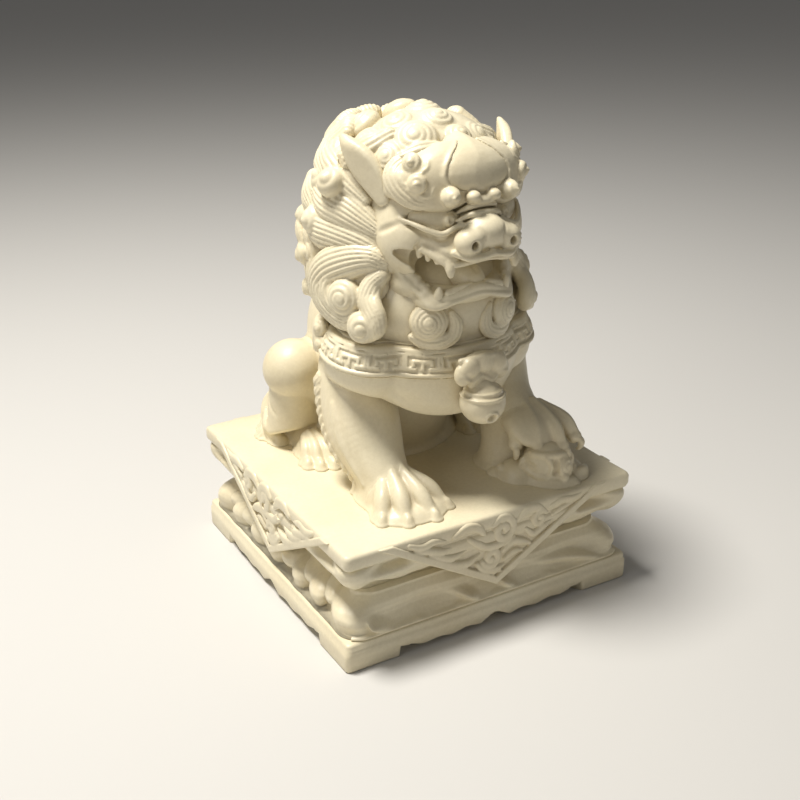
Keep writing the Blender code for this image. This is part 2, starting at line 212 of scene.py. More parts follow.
def curve(points, per=6):
    """A smooth curve through points of any dimension."""
    points = np.array(points, float)
    if len(points) < 3:
        return np.linspace(points[0], points[-1], per + 1)
    ends = np.vstack([2 * points[0] - points[1], points, 2 * points[-1] - points[-2]])
    path = []
    for a, b, c, d in zip(ends, ends[1:], ends[2:], ends[3:]):
        for t in np.arange(per) / per:
            path.append(0.5 * (2 * b + (c - a) * t + (2 * a - 5 * b + 4 * c - d) * t * t
                               + (3 * b - a - 3 * c + d) * t ** 3))
    return np.array(path + [points[-1]])


def near(x, y, z, low, high):
    """Slices of the points in a box, whichever way the x line runs."""
    place = []
    for line, a, b in zip((x, y, z), low, high):
        hits = np.flatnonzero((line.ravel() >= a) & (line.ravel() <= b))
        if len(hits) == 0:
            return None
        place.append(slice(hits[0], hits[-1] + 1))
    return tuple(place)


def ball(centre, radii, turn=None):
    """An ellipsoid, turned about X, Y then Z by degrees."""
    radii = np.array(radii if np.ndim(radii) else [radii] * 3, np.float32)
    centre = np.array(centre, np.float32)
    spin = None
    reach = radii
    if turn is not None:
        spin = np.array(Euler([math.radians(a) for a in turn]).to_matrix(), np.float32).T
        reach = np.sqrt(((spin.T * radii) ** 2).sum(1))

    def distance(x, y, z):
        p = [x - centre[0], y - centre[1], z - centre[2]]
        if spin is not None:
            p = [row[0] * p[0] + row[1] * p[1] + row[2] * p[2] for row in spin]
        q = [part / radius for part, radius in zip(p, radii)]
        outer = np.sqrt(q[0] ** 2 + q[1] ** 2 + q[2] ** 2 + 1e-6)
        inner = np.sqrt(sum((part / radius) ** 2 for part, radius in zip(q, radii)) + 1e-9)
        return outer * (outer - 1) / inner

    return Stroke(centre - reach, centre + reach, distance)


def pillow(centre, radii, power):
    """A ball with flattened sides; the higher the power, the squarer it is."""
    centre = np.array(centre, np.float32)
    radii = np.array(radii, np.float32)

    def distance(x, y, z):
        parts = [np.abs(line - mid) / r + 1e-4 for line, mid, r in zip((x, y, z), centre, radii)]
        size = sum(part ** power for part in parts) ** (1 / power)
        slope = [part ** (power - 1) / r for part, r in zip(parts, radii)]
        steep = np.sqrt(sum(part ** 2 for part in slope)) * size ** (1 - power)
        return ((size - 1) / steep).astype(np.float32)

    return Stroke(centre - radii, centre + radii, distance)


def spans(rows, girths, x, y, z):
    """The spans of a path whose rows are a place and its sizes.

    For each span: its number, the points near it, their offsets from it, and the sizes there.
    """
    for number, (a, b, girth) in enumerate(zip(rows, rows[1:], girths)):
        ahead = (b - a)[:3]
        length = max(float(ahead @ ahead), 1e-9)
        reach = girth + REACH
        place = near(x, y, z, np.minimum(a, b)[:3] - reach, np.maximum(a, b)[:3] + reach)
        if place is None:
            continue
        dx, dy, dz = x[place[0]] - a[0], y[:, place[1]] - a[1], z[:, :, place[2]] - a[2]
        t = np.clip((dx * ahead[0] + dy * ahead[1] + dz * ahead[2]) / length, 0, 1)
        offsets = [gap - t * step for gap, step in zip((dx, dy, dz), ahead)]
        yield number, place, offsets, [p + t * (q - p) for p, q in zip(a[3:], b[3:])]


def rod(points, radii, smooth=True):
    """A round rod along points, whose radius may change along it."""
    points = np.array(points, float)
    rows = np.column_stack([points, spread(radii, points)])
    if smooth and len(points) > 2:
        rows = curve(rows)
    rows = rows.astype(np.float32)
    thick = rows[:, 3].max()
    girths = np.maximum(rows[:-1, 3], rows[1:, 3]) + 2

    def distance(x, y, z):
        out = np.full((x.size, y.size, z.size), FAR, np.float32)
        for number, place, offsets, (radius,) in spans(rows, girths, x, y, z):
            out[place] = np.minimum(out[place], np.sqrt(sum(gap ** 2 for gap in offsets)) - radius)
        return out

    return Stroke(rows[:, :3].min(0) - thick, rows[:, :3].max(0) + thick, distance)


def spread(sizes, points):
    """One size for each point, where sizes may be a single number."""
    return np.full(len(points), sizes, float) if np.ndim(sizes) == 0 else np.array(sizes, float)


def arch(points):
    """Points that reach the middle, carried on down the other side."""
    return list(points) + [(-x, y, z) for x, y, z in reversed(points[:-1])]


def unit(v):
    v = np.array(v, float)
    return v / np.linalg.norm(v)


def lock(points, widths, thick, hub, strands, depth=0.7):
    """A flat tapering lock of hair with strands combed along its outer face."""
    rows = curve(np.column_stack([points, spread(widths, points), spread(thick, points)]))
    spots = rows[:, :3]
    faces = []
    for ahead, out in zip(np.gradient(spots, axis=0), spots - np.array(hub, float)):
        along = unit(ahead)
        lift = unit(out - along * (out @ along))
        faces.append((along, np.cross(along, lift), lift))
    most = rows[:, 3:].max()
    girths = np.max([rows[:-1, 3], rows[1:, 3], rows[:-1, 4]], axis=0)

    def distance(x, y, z):
        result = np.full((x.size, y.size, z.size), FAR, np.float32)
        for number, place, offsets, (wide, high) in spans(rows, girths, x, y, z):
            end, across, up = [sum(gap * n for gap, n in zip(offsets, axis)) for axis in faces[number]]
            across, up, end = across / wide, up / high, end / high
            outer = np.sqrt(across ** 2 + up ** 2 + end ** 2 + 1e-6)
            inner = np.sqrt((across / wide) ** 2 + (up ** 2 + end ** 2) / high ** 2 + 1e-9)
            comb = 1 - np.abs(np.sin(math.pi * strands * (across + 1) / 2))
            fade = np.clip(1.15 - across ** 4, 0, 1) * (up > -0.3)
            result[place] = np.minimum(result[place], outer * (outer - 1) / inner + depth * comb * fade)
        return result.astype(np.float32)

    return Stroke(spots.min(0) - most, spots.max(0) + most, distance)


def curl(centre, outward, radius, height, turns=3.0, hand=1, depth=0.8, knob=0.0):
    """A snail curl: a low dome with a spiral groove, and a knob at its eye."""
    centre = np.array(centre, np.float32)
    out = unit(outward)
    side = unit(np.cross((0, 0, 1) if abs(out[2]) < 0.9 else (0, 1, 0), out))
    rise = np.cross(out, side)
    out, side, rise = [v.astype(np.float32) for v in (out, side, rise)]
    most = max(radius, height)

    def distance(x, y, z):
        dx, dy, dz = x - centre[0], y - centre[1], z - centre[2]
        a = dx * side[0] + dy * side[1] + dz * side[2]
        b = dx * rise[0] + dy * rise[1] + dz * rise[2]
        c = dx * out[0] + dy * out[1] + dz * out[2]
        flat = np.sqrt(a * a + b * b) / radius
        outer = np.sqrt(flat ** 2 + (c / height) ** 2 + 1e-6)
        inner = np.sqrt((flat / radius) ** 2 + (c / height ** 2) ** 2 + 1e-9)
        d = outer * (outer - 1) / inner
        phase = turns * flat - hand * np.arctan2(b, a) / (2 * math.pi)
        comb = 1 - np.abs(np.sin(math.pi * phase))
        fade = np.clip((flat - 0.12) * 6, 0, 1) * np.clip(c / height + 0.3, 0, 1)
        if knob:
            d = d - knob * np.exp(-(flat * 3.2) ** 2)
        return (d + depth * comb * fade).astype(np.float32)

    return Stroke(centre - most, centre + most, distance)


# Meshes from fields

EDGES = [(a, b) for a in range(8) for b in range(8) if b > a and bin(a ^ b).count("1") == 1]
CORNERS = np.array([(n & 1, n >> 1 & 1, n >> 2 & 1) for n in range(8)])


def surface_net(field):
    """Vertices, in lattice cells, and quads of the surface where the field is zero."""
    inside = field < 0
    nx, ny, nz = [n - 1 for n in field.shape]
    total = np.zeros((nx, ny, nz), np.uint8)
    for i, j, k in CORNERS:
        total += inside[i:nx + i, j:ny + j, k:nz + k]
    active = (total > 0) & (total < 8)
    cells = np.argwhere(active)
    number = np.full(active.shape, -1, np.int32)
    number[active] = np.arange(len(cells), dtype=np.int32)
    values = np.stack([field[tuple((cells + c).T)] for c in CORNERS], 1)
    place = np.zeros((len(cells), 3))
    hits = np.zeros(len(cells))
    for a, b in EDGES:
        crossed = (values[:, a] < 0) != (values[:, b] < 0)
        gap = np.where(crossed, values[:, a] - values[:, b], 1)
        t = np.where(crossed, values[:, a] / gap, 0)
        spot = CORNERS[a] + t[:, None] * (CORNERS[b] - CORNERS[a])
        place += spot * crossed[:, None]
        hits += crossed
    vertices = cells + place / hits[:, None]
    quads = []
    for axis in range(3):
        one, two = (axis + 1) % 3, (axis + 2) % 3
        here = [slice(1, n) for n in (nx, ny, nz)]
        there = list(here)
        here[axis] = slice(0, inside.shape[axis] - 1)
        there[axis] = slice(1, inside.shape[axis])
        first, second = inside[tuple(here)], inside[tuple(there)]
        edge = np.argwhere(first != second)
        leaving = first[tuple(edge.T)]
        base = edge + 1
        base[:, axis] -= 1
        step_one, step_two = np.zeros(3, int), np.zeros(3, int)
        step_one[one], step_two[two] = 1, 1
        ring = [base, base - step_one, base - step_one - step_two, base - step_two]
        quad = np.stack([number[tuple(corner.T)] for corner in ring], 1)
        quad[~leaving] = quad[~leaving][:, ::-1]
        quads.append(quad)
    return vertices, np.concatenate(quads)


def hollowness(field, cells, reach):
    """How sunk the surface is at each cell: -1 on sharp ridges, 0 on open faces, 1 in deep creases."""
    limit = np.array(field.shape) - 1
    index = np.clip(np.rint(cells).astype(int), 0, limit)
    middle = field[tuple(index.T)]
    around = np.zeros(len(cells))
    for axis in range(3):
        for way in (-reach, reach):
            other = index.copy()
            other[:, axis] = np.clip(other[:, axis] + way, 0, limit[axis])
            around += np.clip(field[tuple(other.T)] - middle, -4, 4)
    return np.clip(-around / (2 * reach), -1, 1).astype(np.float32)


def add_mesh(name, vertices, faces, hollow):
    """A smooth-shaded object from vertices, in millimetres, quads, and how sunk each vertex is, which sets
    its painted shade.
    """
    mesh = bpy.data.meshes.new(name)
    mesh.vertices.add(len(vertices))
    mesh.vertices.foreach_set("co", (np.array(vertices) * MM).astype(np.float32).ravel())
    size = faces.shape[1]
    mesh.loops.add(faces.size)
    mesh.loops.foreach_set("vertex_index", faces.ravel().astype(np.int32))
    mesh.polygons.add(len(faces))
    mesh.polygons.foreach_set("loop_start", np.arange(0, faces.size, size, dtype=np.int32))
    mesh.update(calc_edges=True)
    mesh.validate()
    mesh.shade_smooth()
    # How sunk each vertex is, read by the stone's colour as painted shade
    layer = mesh.attributes.new("hollow", "FLOAT", "POINT")
    layer.data.foreach_set("value", hollow)
    item = bpy.data.objects.new(name, mesh)
    bpy.context.scene.collection.objects.link(item)
    return item


# The lion

LION_HALF = STEP * math.ceil(80 / STEP)
LION = Lattice((-LION_HALF, -96, 68.8), (LION_HALF, 97, 303), STEP)
BOXES = {name: [[v / MM for v in corner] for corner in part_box(name)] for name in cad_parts}
TRUNK_ROOM = ((-79, -92, 69), (79, 96, 238))
BAND_HEIGHT = 162.5
BAND_TILT = 0.06
BAND_RADIUS = 62
KEY_LENGTH = 18.0


def start(name, swell=(8, 8, 8)):
    """A carving with room for its CAD node and some more."""
    low, high = BOXES[name]
    return Carving(name, LION, [v - s for v, s in zip(low, swell)], [v + s for v, s in zip(high, swell)])


def neck_and_chest():
    """The neck, the chest with its lip and the shoulder cape; the collar hugs these."""
    neck = Carving("neck", LION, *TRUNK_ROOM)
    neck.add(ball((0, -17, 184), (53, 50.5, 38)))
    chest = Carving("chest", LION, *TRUNK_ROOM)
    chest.balls(((0, -27, 150), (52, 44, 37), 0), ((0, -38, 134), (34, 30, 15), 8))
    x, y, z = chest.axes()
    lip = 120.5 + 0.0052 * x * x + 0.10 * (y + 58)
    chest.trim(lip - z, 3)
    cape = Carving("cape", LION, *TRUNK_ROOM)
    cape.add(ball((-41, -22, 151), (26, 31, 26)), both=True)
    edge = 137 + 0.25 * (np.abs(x) - 48) + 0.08 * (y + 30)
    cape.trim(edge - z, 2.5)
    neck.join(chest, 2)
    neck.join(cape, 2)
    rim = [(-60, -9, 147), (-61, -14, 143.5), (-58, -21, 139.8), (-52.5, -32, 139.6), (-44, -44, 141),
           (-37, -49, 136), (-30, -51.5, 131), (-20, -57, 127.8), (-9, -61, 126.4), (0, -62, 126.2)]
    neck.add(rod(rim, [1.8] + [3.4] * 6 + [3.0, 2.4, 1.8]), 2.5, both=True)
    return neck


def torso(neck):
    body = Carving("torso", LION, *TRUNK_ROOM)
    body.balls(((0, 20, 118), (42, 40, 50), 0), ((0, 42, 142), (44, 46, 55.5), 14),
               ((0, 46, 96), (48, 40, 34), 12), ((0, 40, 76), (52, 44, 14), 12))
    body.join(neck, 2)
    return body


def collar(neck_form):
    """A band that hugs the neck, with a rim along each edge and a key pattern."""
    band = Carving("collar", LION, (-72, -90, 142), (72, 66, 188))
    shared = tuple(slice(a - s, b - s) for a, b, s in zip(band.first, band.last, neck_form.first))
    neck = neck_form.field[shared]
    x, y, z = band.axes()
    level = np.broadcast_to((z - BAND_HEIGHT - BAND_TILT * (y + 13)).astype(np.float32), neck.shape)
    around = (np.arctan2(x, -y) * BAND_RADIUS).astype(np.float32)
    along = np.abs(np.mod(around, KEY_LENGTH) - KEY_LENGTH / 2)
    ground = np.abs(level) - 7.6
    rims = np.minimum(np.abs(np.abs(level) - 6.6) - 1.2, 9)
    lines = np.abs(np.abs(level) - 9.0) - 0.55
    key = key_bars(along, level)
    for lift, form, k in ((1.3, ground, 1), (2.7, rims, 0.8), (1.0, lines, 0.6), (2.4, key, 0.5)):
        band.field = np.minimum(band.field, soft_max(neck - lift, form, k))
    return band


def key_bars(u, v):
    """How far a point is from the strokes of one half of a mirrored key figure."""
    half = 0.95
    foot, middle, head = -3.6, 1.2, 3.6
    strokes = ((-half, half, foot, middle), (0, 4.6, middle - half, middle + half),
               (4.6 - half, 4.6 + half, -1.6, middle + half),
               (3.0, 9.0, foot - half * 0.2, foot + half * 1.8), (7.4, 9.0, foot, head),
               (0, 9.0, head, head + half * 1.8))
    return np.minimum.reduce([
        np.maximum(np.maximum(u0 - u, u - u1), np.maximum(v0 - v, v - v1)) for u0, u1, v0, v1 in strokes])


def plate():
    """A layered leaf that hangs from the front of the collar."""
    leaf = start("collar_plate")
    leaf.add(ball((0, -77, 158), (14, 5, 8), (-8, 0, 0)))
    for x, z, r in ((-13, 152, 5.5), (-5, 149, 6), (4, 149, 6), (12, 152, 5.5)):
        leaf.add(ball((x, -79, z + 3), (r, 4, r * 1.2), (-8, 0, 0)), 1)
    for x, z in ((-9, 159), (0, 161), (9, 159)):
        leaf.add(ball((x, -81, z), (6, 3.4, 6)), 0.8)
        leaf.cut(rod([(x, -86, z - 5), (x * 0.7, -86, z + 5)], 1.2), 0.8)
    leaf.add(rod([(-14, -78, 163), (0, -82, 165), (14, -78, 163)], 1.8), 1)
    leaf.ridge([(-15, -80, 155), (-9, -83, 151), (-3, -83, 154), (4, -83, 150), (10, -82, 154),
                (15, -80, 153)], 1.3)
    return leaf


def bell():
    ball_bell = start("bell")
    middle = (0, -80, 136.5)
    ball_bell.balls((middle, (13.4, 13, 12.6), 0), ((0, -79, 147), (7, 6, 5), 1.5))
    for height, r in ((141.5, 12.6), (144.5, 10.4)):
        ring = [(math.cos(a) * r, -80 + math.sin(a) * r, height) for a in np.linspace(0, 2 * math.pi, 25)]
        ball_bell.add(rod(ring, 0.9, smooth=False), 0.8)
    out = np.array((-0.1, -0.9, -0.42))
    spot = np.array(middle) + unit(out) * 12.6
    ball_bell.add(ring_stroke(spot, out, 3.6, 1.0), 0.6)
    ball_bell.cut(ball(spot, 2.2), 0.6)
    return ball_bell


def ring_stroke(centre, outward, radius, thick):
    out = unit(outward)
    side = unit(np.cross((0, 0, 1), out))
    rise = np.cross(out, side)
    angles = np.linspace(0, 2 * math.pi, 17)
    points = [centre + side * math.cos(a) * radius + rise * math.sin(a) * radius for a in angles]
    return rod(points, thick, smooth=False)


def foreleg():
    leg = start("right_foreleg", (12, 14, 12))
    leg.add(rod([(-41, -4, 150), (-43, -8, 132), (-45.5, -22, 110), (-46, -36, 96), (-45.5, -48, 86)],
                [20, 22.5, 22.5, 18.2, 14.8]), 4)
    leg.add(ball((-45, -50, 76), (16, 18, 10)), 8)
    add_scallops(leg, [(-65.5, -2, 139), (-66, -5, 120), (-64.5, -14, 105), (-60, -28, 91),
                       (-53, -39, 80)], -44)
    leg.ridge([(-61, -20, 126), (-61, -27, 112), (-58, -36, 99), (-55, -48, 86)], 1.4, 3)
    return leg


def add_scallops(leg, points, axis_x):
    """A band of small combed leaves, each lying over the next, down the back edge of a foreleg."""
    path = leg.cling(curve(points, 3), -0.9)
    leg.add(rod(path, 2.8, smooth=False), 1)
    for spot, below in zip(path, path[1:]):
        axis = np.array((axis_x, -8 - (132 - spot[2]) * 0.75, spot[2]))
        along, out = unit(below - spot), unit(spot - axis)
        back = np.cross(along, out)
        back *= math.copysign(1, back[1])
        stem = spot - back * 2.2 + out * 0.6
        middle = spot + along * 3.5 + back * 0.6 + out * 1.6
        tip = spot + along * 7.5 + back * 4 + out * 1.2
        leg.add(lock([stem, middle, tip], [2.6, 3.6, 1.2], [1.6, 2.3, 1.2], axis, 3, 0.8), 0.3)


def fore_paw():
    paw = start("right_fore_paw", (14, 16, 10))
    paw.balls(((-43, -58, 79), (18, 17, 13), 0), ((-42, -70, 75), (21, 15, 7), 4))
    tips = ((-61, -72, 76.4), (-50.5, -79.5, 76.4), (-35.5, -81.5, 76.4), (-23.5, -73.5, 76.4))
    roots = ((-50, -54, 89), (-46.5, -57, 92), (-40, -57, 92), (-35, -54, 89))
    add_toes(paw, tips, roots, 5.0)
    return paw


def add_toes(paw, tips, roots, size):
    """Toes, each with a sharp ridge along its back, a swelling at its end and a small claw."""
    for tip, root in zip(np.array(tips, float), np.array(roots, float)):
        knuckle = root * 0.35 + tip * 0.65 + (0, 0, 2.6)
        paw.add(rod([root, knuckle, tip], [size * 0.8, size * 1.05, size * 0.86]), 1.4)
        lift = (0, 0, size * 0.72)
        paw.add(rod([root + lift, knuckle + lift, tip + (0, 0, size * 0.6)], [1.0, 1.7, 1.5]), 2.2)
        paw.add(claw(tip, root), 0.5)


def claw(tip, root):
    """A short crescent claw that points down from the end of a toe."""
    ahead = unit((tip - root) * (1, 1, 0))
    top = tip + ahead * 2.4 + (0, 0, 2.2)
    return rod([top, tip + ahead * 5.0 + (0, 0, 1.0), tip + ahead * 5.8 + (0, 0, -2.2)], [1.7, 1.6, 0.7])


def raised_leg():
    leg = start("left_foreleg", (12, 14, 12))
    leg.add(rod([(46, -16, 146), (47, -22, 128), (46, -34, 116), (46, -46, 110)],
                [24, 22, 18.5, 15.5]), 4)
    leg.add(rod([(45, -40, 104), (44, -44, 88), (44, -46, 76)], [15, 15.5, 18]), 6)
    add_scallops(leg, [(64, 0, 136), (65, -6, 122), (60, -20, 108), (56, -26, 94)], 46)
    return leg


def raised_paw():
    paw = start("left_fore_paw", (14, 14, 12))
    paw.add(ball((49, -60, 106), (18, 16, 11), (22, 0, 0)))
    paw.add(ball((51, -68, 103), (19, 13, 7), (38, 0, 0)), 3)
    tips = ((35, -66, 94), (45, -75, 94.5), (58, -81, 94), (69, -79, 97))
    roots = ((41, -54, 113), (46, -57, 116), (52, -59, 116), (58, -58, 113))
    for tip, root in zip(np.array(tips, float), np.array(roots, float)):
        ahead = unit((tip - root) * (1, 1, 0))
        knuckle = root * 0.4 + tip * 0.6 + ahead * 3 + (0, 0, 3)
        paw.add(rod([root, knuckle, tip], [4.0, 4.6, 3.6]), 2)
        back = [root + (0, 0, 3.4), knuckle + ahead * 0.8 + (0, 0, 4.0), tip + ahead * 3 + (0, 0, 2.6)]
        paw.add(rod(back, [1.4, 2.0, 1.7]), 1.0)
        paw.add(ball(tip + ahead * 0.5 + (0, 0, 1.2), (4.6, 4.6, 3.8)), 1)
        paw.add(rod([tip + ahead * 2.5 + (0, 0, 1), tip + ahead * 5.4 + (0, 0, -1.4),
                     tip + ahead * 4.6 + (0, 0, -5.4), tip + ahead * 2.4 + (0, 0, -7.4)],
                    [2.2, 2.2, 1.6, 0.7]), 0.4)
    return paw


def cub():
    """The cub lies on its back under the paw."""
    young = start("cub", (16, 14, 10))
    young.balls(((52, -76, 85), (16, 13.5, 14), 0), ((37, -67, 78), (10, 11, 7), 3),
                ((66, -78, 77), (9, 10, 6), 3))
    young.add(rod([(27, -57, 75.5), (33, -69, 77), (40, -79, 77), (48, -88, 76), (60, -91, 75.5)],
                  [2.0, 2.6, 2.8, 2.8, 2.2]), 1.2)
    for x, y in ((28.5, -62), (34, -73), (43, -83), (54, -90)):
        young.add(ball((x, y, 79.5), (3.2, 3.2, 2.8)), 0.8)
    young.add(curl((40, -75, 85), (-0.6, -0.7, 0.35), 7, 4, 2.2, 1, 0.7), 0.8)
    young.add(curl((56, -88, 85), (0.2, -0.95, 0.15), 7.5, 4, 2.4, -1, 0.7), 0.8)
    young.add(rod([(66, -87, 77), (71, -88, 79), (75, -84, 78)], [3, 2.4, 1.4]), 1)
    for points, width in ((((37, -72, 92), (43, -82, 92), (52, -87, 93), (62, -85, 91)), 2.4),
                          (((45, -82, 92), (47, -87, 86), (45, -86, 80)), 2.0),
                          (((64, -83, 90), (67, -85, 84), (63, -88, 79)), 2.0),
                          (((35, -72, 84), (42, -82, 81), (52, -89, 80), (63, -87, 80)), 2.0)):
        young.ridge(points, width, 0.5)
    for points, width in ((((50, -88, 90), (51, -89, 85), (49, -89, 81)), 2.0),
                          (((37, -75, 87), (41, -81, 86)), 1.8), (((58, -87, 89), (60, -88, 84)), 1.8)):
        young.groove(points, width)
    return young


def hind_leg():
    room = ((-80, -16, 69), (-14, 94, 172))
    leg = Carving("right_hind_leg", LION, *room)
    leg.add(rod([(-33, 61, 106), (-46, 52, 117), (-59, 44, 126)], [28, 23, 18.2]))
    shank = Carving("shank", LION, *room)
    shank.add(rod([(-60, 44, 122), (-60, 46, 104), (-60, 47, 82)], [14.2, 15.2, 16.4]))
    x, y, z = shank.axes()
    cuff = 81.5 + 0.42 * np.maximum(50 - y, 0) + 0.05 * (x + 60)
    shank.trim(cuff - z, 3)
    leg.add(ball((-60, 43, 126.5), (18, 18, 18)), 4)
    leg.join(shank, 0.8)
    leg.add(ball((-51, 42, 77), (9, 22, 9)), 3)
    leg.add(rod([(-58, 56, 76), (-61, 64, 84), (-62, 66, 92)], [9, 9, 6]), 3)
    leg.add(lock([(-62, 62, 74), (-64, 69, 84), (-63, 72, 94), (-61, 67, 106)], [7, 8, 6, 1.5], [6, 6, 5, 2],
                 (-58, 44, 86), 5, 0.9), 1)
    leg.add(lock([(-68, 50, 76), (-72, 58, 83), (-71, 62, 94)], [5, 6, 1.5], [4, 4, 2],
                 (-58, 46, 80), 4, 0.8), 1)
    leg.add(curl((-64, 74, 77), (-0.6, 0.8, 0.1), 7.6, 6, 3, 1, 0.7), 0.8)
    leg.add(curl((-71, 64, 77), (-0.85, 0.5, 0.1), 6.4, 5, 2.6, 1, 0.7), 0.8)
    leg.groove([(-74, 54, 118), (-76, 50, 106), (-75, 40, 98)], 1.3, 1.5)
    return leg


def hind_paw():
    paw = start("right_hind_paw", (12, 14, 10))
    paw.add(ball((-56, 24, 77), (9.5, 15, 9)))
    tips = ((-66, 13, 76), (-61, 7.5, 76), (-54, 5, 76), (-47, 5, 76))
    roots = ((-60, 29, 84), (-57.5, 28, 86), (-54, 28, 86), (-51, 28, 84))
    add_toes(paw, tips, roots, 3.6)
    return paw


def tail():
    """A flame-shaped tail that stands against the back, with curls at its foot."""
    plume = start("tail", (16, 9, 10))
    hub = (0, 20, 130)
    plume.add(lock([(0, 84, 76), (0, 90, 100), (0, 91, 126), (0, 86, 150), (0, 78, 168), (2, 72, 184)],
                   [12, 15, 15, 12, 8, 2], [9, 9, 8, 7, 5, 3], hub, 7, 0.9))
    for side in (-1, 1):
        for foot, tip, wide in ((80, 118, 8), (96, 142, 8), (116, 162, 7)):
            reach = 25 - (foot - 80) * 0.22
            path = [(side * 5, 88, foot), (side * reach * 0.8, 87, foot + 10), (side * reach, 82, tip - 12),
                    (side * (reach - 4), 77, tip)]
            plume.add(lock(path, [5, wide, wide * 0.8, 2], [6, 7, 5, 2.5], hub, 5, 0.8), 1)
        plume.add(curl((side * 17, 86, 84), (side * 0.5, 0.85, 0.1), 11, 7, 3.4, side, 0.8), 1)
        plume.add(curl((side * 9, 92, 104), (side * 0.3, 0.95, 0.1), 8, 6, 3, side, 0.8), 1)
    plume.add(curl((0, 93, 128), (0, 1, 0.2), 9, 6, 3, 1, 0.8), 1)
    return plume


# The head

def head():
    skull = start("head", (14, 14, 14))
    skull.add(ball((0, -28, 248), (42, 37, 34)))
    skull.add(ball((-27, -40, 228), (18, 24, 24)), 9, both=True)
    skull.add(ball((0, -60, 229), (27, 20, 13)), 8)
    skull.add(rod([(0, -52, 246), (0, -64, 240), (0, -74, 235)], [12, 10, 9]), 6)
    skull.add(ball((-18, -66, 223.5), (9.5, 12, 8)), 4, both=True)
    skull.cut(ball((-27, -67, 241), (16.5, 10.5, 5.4), (0, 0, -39)), 2.5, both=True)
    skull.cut(ball((0, -59, 209), (30.5, 30, 12.6)), 2)
    skull.cut(ball((-28, -58, 217.5), (6, 11, 5.8), (20, 0, -20)), 1.5, both=True)
    skull.cut(rod([(-39, -52, 222.8), (-35.5, -56, 221.8), (-28, -64, 217)], [2.6, 4.6, 4.8]), 1.0, both=True)
    skull.add(rod([(-38, -43, 227), (-39.5, -42, 220), (-38.5, -42, 211)], [2.8, 3.4, 3.4]), 2, both=True)
    lip = arch([(-36, -47, 229), (-32.5, -58, 227), (-27, -67.5, 223), (-21, -75.5, 218.6),
                (-11, -79.5, 219.8), (0, -80.5, 221)])
    skull.add(rod(lip, [1.6, 1.8, 1.8, 1.9, 1.7, 1.7, 1.7, 1.9, 1.8, 1.8, 1.6]), 1.2)
    over_lip = [(-33, -54, 230.5), (-27, -66, 227.5), (-22, -74, 223.5), (-11, -80, 224)]
    skull.groove(over_lip, 1.3, 1.5, both=True)
    lid = [(-38.5, -52, 241), (-34, -60, 239), (-29, -67, 236.6), (-23.5, -72, 235), (-18, -73, 237),
           (-13, -74, 240)]
    skull.add(rod(lid, [1.3, 1.6, 1.7, 1.8, 1.7, 1.2]), 1.0, both=True)
    under_lid = [(-36, -56, 237), (-29, -66, 233.5), (-23, -71, 232), (-17, -73, 234)]
    skull.groove(under_lid, 1.0, 1, both=True)
    skull.groove([(-37, -50, 236), (-41, -42, 232)], 1.4, 2, both=True)
    for rise, back, reach in ((0, 0, 17), (3.8, 1.5, 15), (7.4, 4, 12)):
        fold = arch([(-reach, -72 + back, 236.5 + rise), (-8, -77.5 + back, 240.5 + rise),
                     (0, -79 + back, 241.5 + rise)])
        skull.add(rod(fold, [1.0, 1.7, 1.8, 1.7, 1.0]), 1.2)
    return skull


def jaw():
    low = start("lower_jaw", (14, 14, 14))
    rim = arch([(-37, -45, 213), (-33.5, -52, 205.5), (-29, -60, 198.5), (-25, -66.5, 193),
                (-14, -71.5, 196), (0, -74.5, 199.5)])
    inner = [(px * 0.9, py + 1.5, pz + 3.4) for px, py, pz in rim[1:-1]]
    low.add(ball((0, -48, 198), (31, 24, 9.5)))
    low.add(ball((-30, -42, 203), (9, 15, 10)), 4, both=True)
    low.add(ball((-22, -57, 194.5), (9, 12, 6)), 3, both=True)
    low.add(rod(inner, 2.8), 2)
    low.cut(ball((0, -52, 209.5), (27, 21, 9.5)), 2)
    low.add(rod(rim, [1.9, 2.0, 1.9, 2.2, 1.8, 1.7, 1.8, 2.2, 1.9, 2.0, 1.9]), 0.9)
    for px, py, pz in ((-32, -52, 210), (-28, -59, 205)):
        fold = [(px, py, pz), (px + 2, py - 1, pz - 3.5), (px + 3, py - 2.5, pz - 7)]
        low.ridge(fold, 1.5, 1.5, both=True)
    return low


def tongue():
    flesh = start("tongue", (10, 8, 8))
    flesh.add(rod([(0, -42, 204), (0, -54, 205.5), (0, -64, 204.5), (0, -69, 201)], [9, 10, 8.5, 5.5]))
    flesh.groove([(0, -44, 216), (0, -56, 216), (0, -68, 208)], 1.2, 2)
    return flesh


def upper_teeth():
    teeth = start("right_upper_teeth")
    teeth.add(rod([(-20.5, -74, 219.5), (-20.8, -76, 216), (-20.8, -76.5, 213.4)], [3.3, 2.7, 1.9]))
    for x, y, z in ((-24.3, -68.5, 220), (-27, -63.5, 221), (-29.5, -58.5, 222)):
        teeth.add(rod([(x, y, z + 2), (x, y, z - 1)], [2.2, 1.7]), 0.6)
    teeth.add(rod([(-16, -76, 218.6), (-9, -77, 219.4), (0, -77.5, 219.8)], [2.2, 2.2, 2.2]), 0.8)
    return teeth


def lower_teeth():
    teeth = start("right_lower_teeth", (14, 10, 8))
    teeth.add(rod([(-21.5, -65, 196), (-22, -67, 200.5), (-22, -67.5, 204)], [3.3, 2.6, 1.1]))
    for x, y, z in ((-25.5, -60, 201.5), (-28.5, -54, 205)):
        teeth.add(rod([(x, y, z - 4), (x, y, z + 1.6)], [3, 2.3]), 0.6)
    teeth.add(rod([(-17, -68.5, 200.5), (-9, -71, 203), (1, -72, 204)], [2.4, 2.5, 2.5]), 0.8)
    teeth.groove([(-17, -70.5, 201.5), (-9, -73.4, 203.6), (0, -74.4, 204.6)], 0.8, 0.5)
    return teeth


